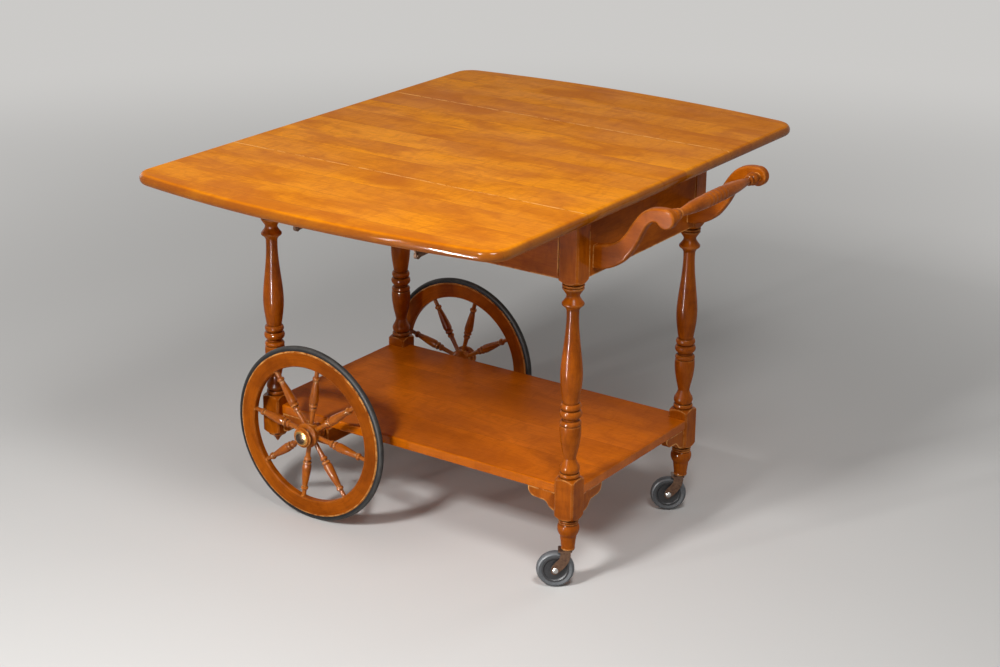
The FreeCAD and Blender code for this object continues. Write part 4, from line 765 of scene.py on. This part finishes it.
spoke_finish = spoke_maple("spoke_maple")
print("spoke finish made")

# %% [markdown]
# ### Both rings of spokes
# The outline goes into the tree as a mesh of corners and edges. The wheels have rolled to
# different places, so each ring has its own first turn.

# %% Set the spokes
FIRST_TURNS = {"near": 8.7, "far": 14.6}
SPOKE_SIDES = 28
SPOKES = 8

outline_mesh = bpy.data.meshes.new("spoke_outline")
outline_mesh.from_pydata([(radius * MM, 0, far * MM) for far, radius in spoke_outline],
                         [(i, i + 1) for i in range(len(spoke_outline) - 1)], [])
for side, first_turn in FIRST_TURNS.items():
    ring = grown(side + "_turned_spokes", outline_mesh, ring_tree,
                 {"Sides": SPOKE_SIDES, "Count": SPOKES, "First Turn": math.radians(first_turn),
                  "Centre": pivots[side + "_wheel_axle"], "Finish": spoke_finish})
    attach(ring, side + "_wheel")
    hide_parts(side + "_wheel_spokes")
    print(ring.name, len(ring.data.polygons), "faces")

# %% [markdown]
# ## Slotted screws
# Sixty countersunk screws hold the hinges, the stays, the cleats, the handle and the axle
# beam. Each place is read from the construction model: the middle of a screw's wide end, and
# the direction that its point looks in. Corners that are joined by edges belong to one screw.

# %% Screw places
def loose_solids(name):
    """The corner points of each separate solid of a node."""
    copy = bmesh.new()
    copy.from_mesh(nodes[name].data)
    bmesh.ops.remove_doubles(copy, verts=copy.verts, dist=0.01 * MM)
    waiting = set(copy.verts)
    solids = []
    while waiting:
        reached = {waiting.pop()}
        edge = list(reached)
        while edge:
            corner = edge.pop()
            for link in corner.link_edges:
                other = link.other_vert(corner)
                if other not in reached:
                    reached.add(other)
                    edge.append(other)
        waiting -= reached
        solids.append([corner.co.copy() for corner in reached])
    copy.free()
    return solids


def screw_place(corners):
    """A screw's head centre, the direction of its point and its length."""
    low = Vector([min(corner[i] for corner in corners) for i in range(3)])
    high = Vector([max(corner[i] for corner in corners) for i in range(3)])
    axis = max(range(3), key=lambda i: high[i] - low[i])
    length = high[axis] - low[axis]
    middle = (low + high) / 2
    first_half = [corner for corner in corners if corner[axis] < middle[axis]]
    second_half = [corner for corner in corners if corner[axis] >= middle[axis]]

    def width(half):
        return max((corner - middle)[(axis + 1) % 3] for corner in half)

    direction = Vector((0, 0, 0))
    direction[axis] = 1.0 if width(first_half) > width(second_half) else -1.0
    return middle - direction * length / 2, direction, length


SCREW_BODIES = {"fitting_screws": "frame", "frame_screws": "frame", "near_leaf_screws": "near_leaf",
                "far_leaf_screws": "far_leaf"}
screws = {name: [screw_place(corners) for corners in loose_solids(name)] for name in SCREW_BODIES}
print({name: len(places) for name, places in screws.items()})

# %% [markdown]
# ### One screw
# A screw is a cylinder with four rings of corners. The first ring becomes the rim of the head,
# the second the end of the cone under it, the third the end of the shank, and the last the
# tip. A thin box, taken away with a Boolean, leaves the slot.

# %% Screw blank
SHORTEST = 13.0 * MM
TIP_RADIUS = 0.15 * MM
RINGS = 4
SCREW_SIDES = 20


def by_ring(tree, ring, values):
    """The value that belongs to each ring of corners."""
    switch = add(tree, "GeometryNodeIndexSwitch", data_type="FLOAT")
    for _ in values[2:]:
        switch.index_switch_items.new()
    join(tree, ring, switch.inputs["Index"])
    for number, value in enumerate(values):
        join(tree, value, switch.inputs[str(number)])
    return switch.outputs[0]


def slotted(tree, body, given):
    """The screw with a slot cut across its head."""
    across = math_node(tree, "MULTIPLY", given["Head Radius"], 3.0)
    deep = math_node(tree, "MULTIPLY", given["Slot Depth"], 2.0)
    size = add(tree, "ShaderNodeCombineXYZ", {"X": given["Slot Width"], "Y": across, "Z": deep}).outputs[0]
    cutter = add(tree, "GeometryNodeMeshCube", {"Size": size}).outputs["Mesh"]
    inputs = {"Mesh 1": body, "Mesh 2": cutter}
    return add(tree, "GeometryNodeMeshBoolean", inputs, operation="DIFFERENCE").outputs["Mesh"]


def single_screw(tree, given):
    """One screw of the shortest length along Z, with everything behind its head marked as tail."""
    depth = RINGS - 1
    blank = add(tree, "GeometryNodeMeshCylinder", {"Vertices": SCREW_SIDES, "Side Segments": depth,
                                                   "Radius": 1.0, "Depth": float(depth)}).outputs["Mesh"]
    place = add(tree, "GeometryNodeInputPosition").outputs[0]
    parts = add(tree, "ShaderNodeSeparateXYZ", {0: place}).outputs
    ring = math_node(tree, "ROUND", math_node(tree, "ADD", parts["Z"], depth / 2))
    head, shank, length = given["Head Radius"], given["Shank Radius"], given["Length"]
    cone = math_node(tree, "SUBTRACT", head, shank)
    tip_start = math_node(tree, "SUBTRACT", length, math_node(tree, "MULTIPLY", shank, 2.0))
    radius = by_ring(tree, ring, (head, shank, shank, TIP_RADIUS))
    height = by_ring(tree, ring, (0.0, cone, tip_start, length))
    sideways, upward = (math_node(tree, "MULTIPLY", parts[axis], radius) for axis in "XY")
    shaped = add(tree, "ShaderNodeCombineXYZ", {"X": sideways, "Y": upward, "Z": height}).outputs[0]
    body = add(tree, "GeometryNodeSetPosition", {"Geometry": blank, "Position": shaped}).outputs[0]
    smooth = smooth_by_angle(tree, slotted(tree, body, given), 40)
    behind_head = math_node(tree, "GREATER_THAN", parts["Z"], math_node(tree, "MULTIPLY", cone, 1.5))
    return marked(tree, smooth, "tail", behind_head, "FLOAT")


print("shortest screw", round(SHORTEST, 4), "m")

# %% [markdown]
# ### Every screw
# Align Rotation to Vector points a copy along its screw's direction, and a seeded Random Value
# turns its slot. After the copies are made real, the tail of each is moved back by as much as
# that screw is longer than the shortest one.

# %% Screw tree
def slotted_screws():
    """Sets a slotted screw on every point, along the point's direction and as long as it says."""
    tree, given = node_group("slotted_screws", {"Head Radius": "Float", "Shank Radius": "Float",
                                                "Length": "Float", "Slot Width": "Float",
                                                "Slot Depth": "Float", "Seed": "Int", "Finish": "Material"})

    def stored(name, kind):
        return add(tree, "GeometryNodeInputNamedAttribute", {"Name": name}, data_type=kind).outputs[0]

    single = single_screw(tree, given)
    direction = stored("direction", "FLOAT_VECTOR")
    chance = add(tree, "FunctionNodeRandomValue", {"Seed": given["Seed"]}, data_type="FLOAT").outputs[1]
    spin = add(tree, "ShaderNodeCombineXYZ", {"Z": math_node(tree, "MULTIPLY", chance, math.pi)}).outputs[0]
    facing = add(tree, "FunctionNodeAlignRotationToVector", {"Vector": direction}, axis="Z").outputs[0]
    turned = add(tree, "FunctionNodeRotateRotation", {"Rotation": facing, "Rotate By": spin},
                 rotation_space="LOCAL").outputs[0]
    inputs = {"Points": given["Geometry"], "Instance": single, "Rotation": turned}
    copies = add(tree, "GeometryNodeInstanceOnPoints", inputs).outputs[0]
    whole = add(tree, "GeometryNodeRealizeInstances", {0: copies}).outputs[0]
    longer = math_node(tree, "MULTIPLY", stored("extra", "FLOAT"), stored("tail", "FLOAT"))
    reach = add(tree, "ShaderNodeVectorMath", {0: direction, "Scale": longer}, operation="SCALE").outputs[0]
    grown_out = add(tree, "GeometryNodeSetPosition", {"Geometry": whole, "Offset": reach}).outputs[0]
    finished = add(tree, "GeometryNodeSetMaterial", {"Geometry": grown_out, "Material": given["Finish"]})
    add(tree, "NodeGroupOutput", {0: finished.outputs[0]})
    return tree


screw_tree = slotted_screws()
print("screw tree has", len(screw_tree.nodes), "nodes")


# %% Set the screws
HEAD_RADIUS = 3.2 * MM
SHANK_RADIUS = 1.7 * MM
SLOT = 0.9 * MM


def screw_points(name, places):
    """A mesh of loose points with each screw's direction and how much longer it is than the shortest."""
    mesh = bpy.data.meshes.new(name + "_points")
    mesh.from_pydata([place for place, _, _ in places], [], [])
    aims = mesh.attributes.new("direction", "FLOAT_VECTOR", "POINT")
    aims.data.foreach_set("vector", [value for _, aim, _ in places for value in aim])
    extras = mesh.attributes.new("extra", "FLOAT", "POINT")
    extras.data.foreach_set("value", [length - SHORTEST for _, _, length in places])
    return mesh


for seed, (name, body) in enumerate(SCREW_BODIES.items()):
    set_screws = grown(name.replace("screws", "slotted_screws"), screw_points(name, screws[name]), screw_tree,
                       {"Head Radius": HEAD_RADIUS, "Shank Radius": SHANK_RADIUS, "Length": SHORTEST,
                        "Slot Width": SLOT, "Slot Depth": SLOT, "Seed": seed, "Finish": plain_steel})
    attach(set_screws, body)
    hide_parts(name)
    print(set_screws.name, len(set_screws.data.polygons), "faces")

# %% [markdown]
# ## Dress the solid parts
# The other pieces keep the meshes of the construction model, and get only a finish. A finish
# whose grain runs along X suits rails and arms, one along Y suits the end rails and what lies
# along the axle, and one along Z suits the legs.

# %% Finishes on the solid parts
def dress(names, material):
    """Gives a finish to the named solid parts."""
    for name in names.split():
        mesh = nodes[name].data
        mesh.materials.clear()
        mesh.materials.append(material)


dress("top_center near_leaf far_leaf", top_maple)
dress("shelf", shelf_maple)
dress("near_side_rail far_side_rail", rail_maple)
dress("near_handle_arm far_handle_arm", arm_maple)
dress("handle_spindle", spindle_maple)
dress("handle_end_rail wheel_end_rail axle_beam", end_rail_maple)
dress("near_handle_leg far_handle_leg near_wheel_leg far_wheel_leg shelf_brackets", turned_maple)
dress("top_cleats", raw_maple)
dress("top_hinge_plates near_leaf_hinge_plates far_leaf_hinge_plates", dull_brass)
dress("leaf_hinge_pins", plain_steel)
dress("stay_rail_brackets near_leaf_brackets far_leaf_brackets caster_sockets", bronzed_steel)
dress("near_stay_arms far_stay_arms near_stay_links far_stay_links", bronzed_steel)
dress("axle axle_spacers axle_nuts", plain_steel)
for side in ("near", "far"):
    wheel = side + "_wheel_"
    caster = side + "_caster_"
    dress(f"{wheel}hub", hub_maple)
    dress(f"{wheel}rim", ring_maple)
    dress(f"{wheel}tyre", tyre_rubber)
    dress(f"{wheel}hub_bush", plain_steel)
    dress(f"{wheel}hub_cap", aged_brass_painted_highlight)
    dress(f"{caster}tyre", caster_rubber)
    dress(f"{caster}core", caster_disc)
    dress(f"{caster}fork", bronzed_steel)
    dress(f"{caster}stem {caster}rivet", plain_steel)
print("every solid part has a finish")
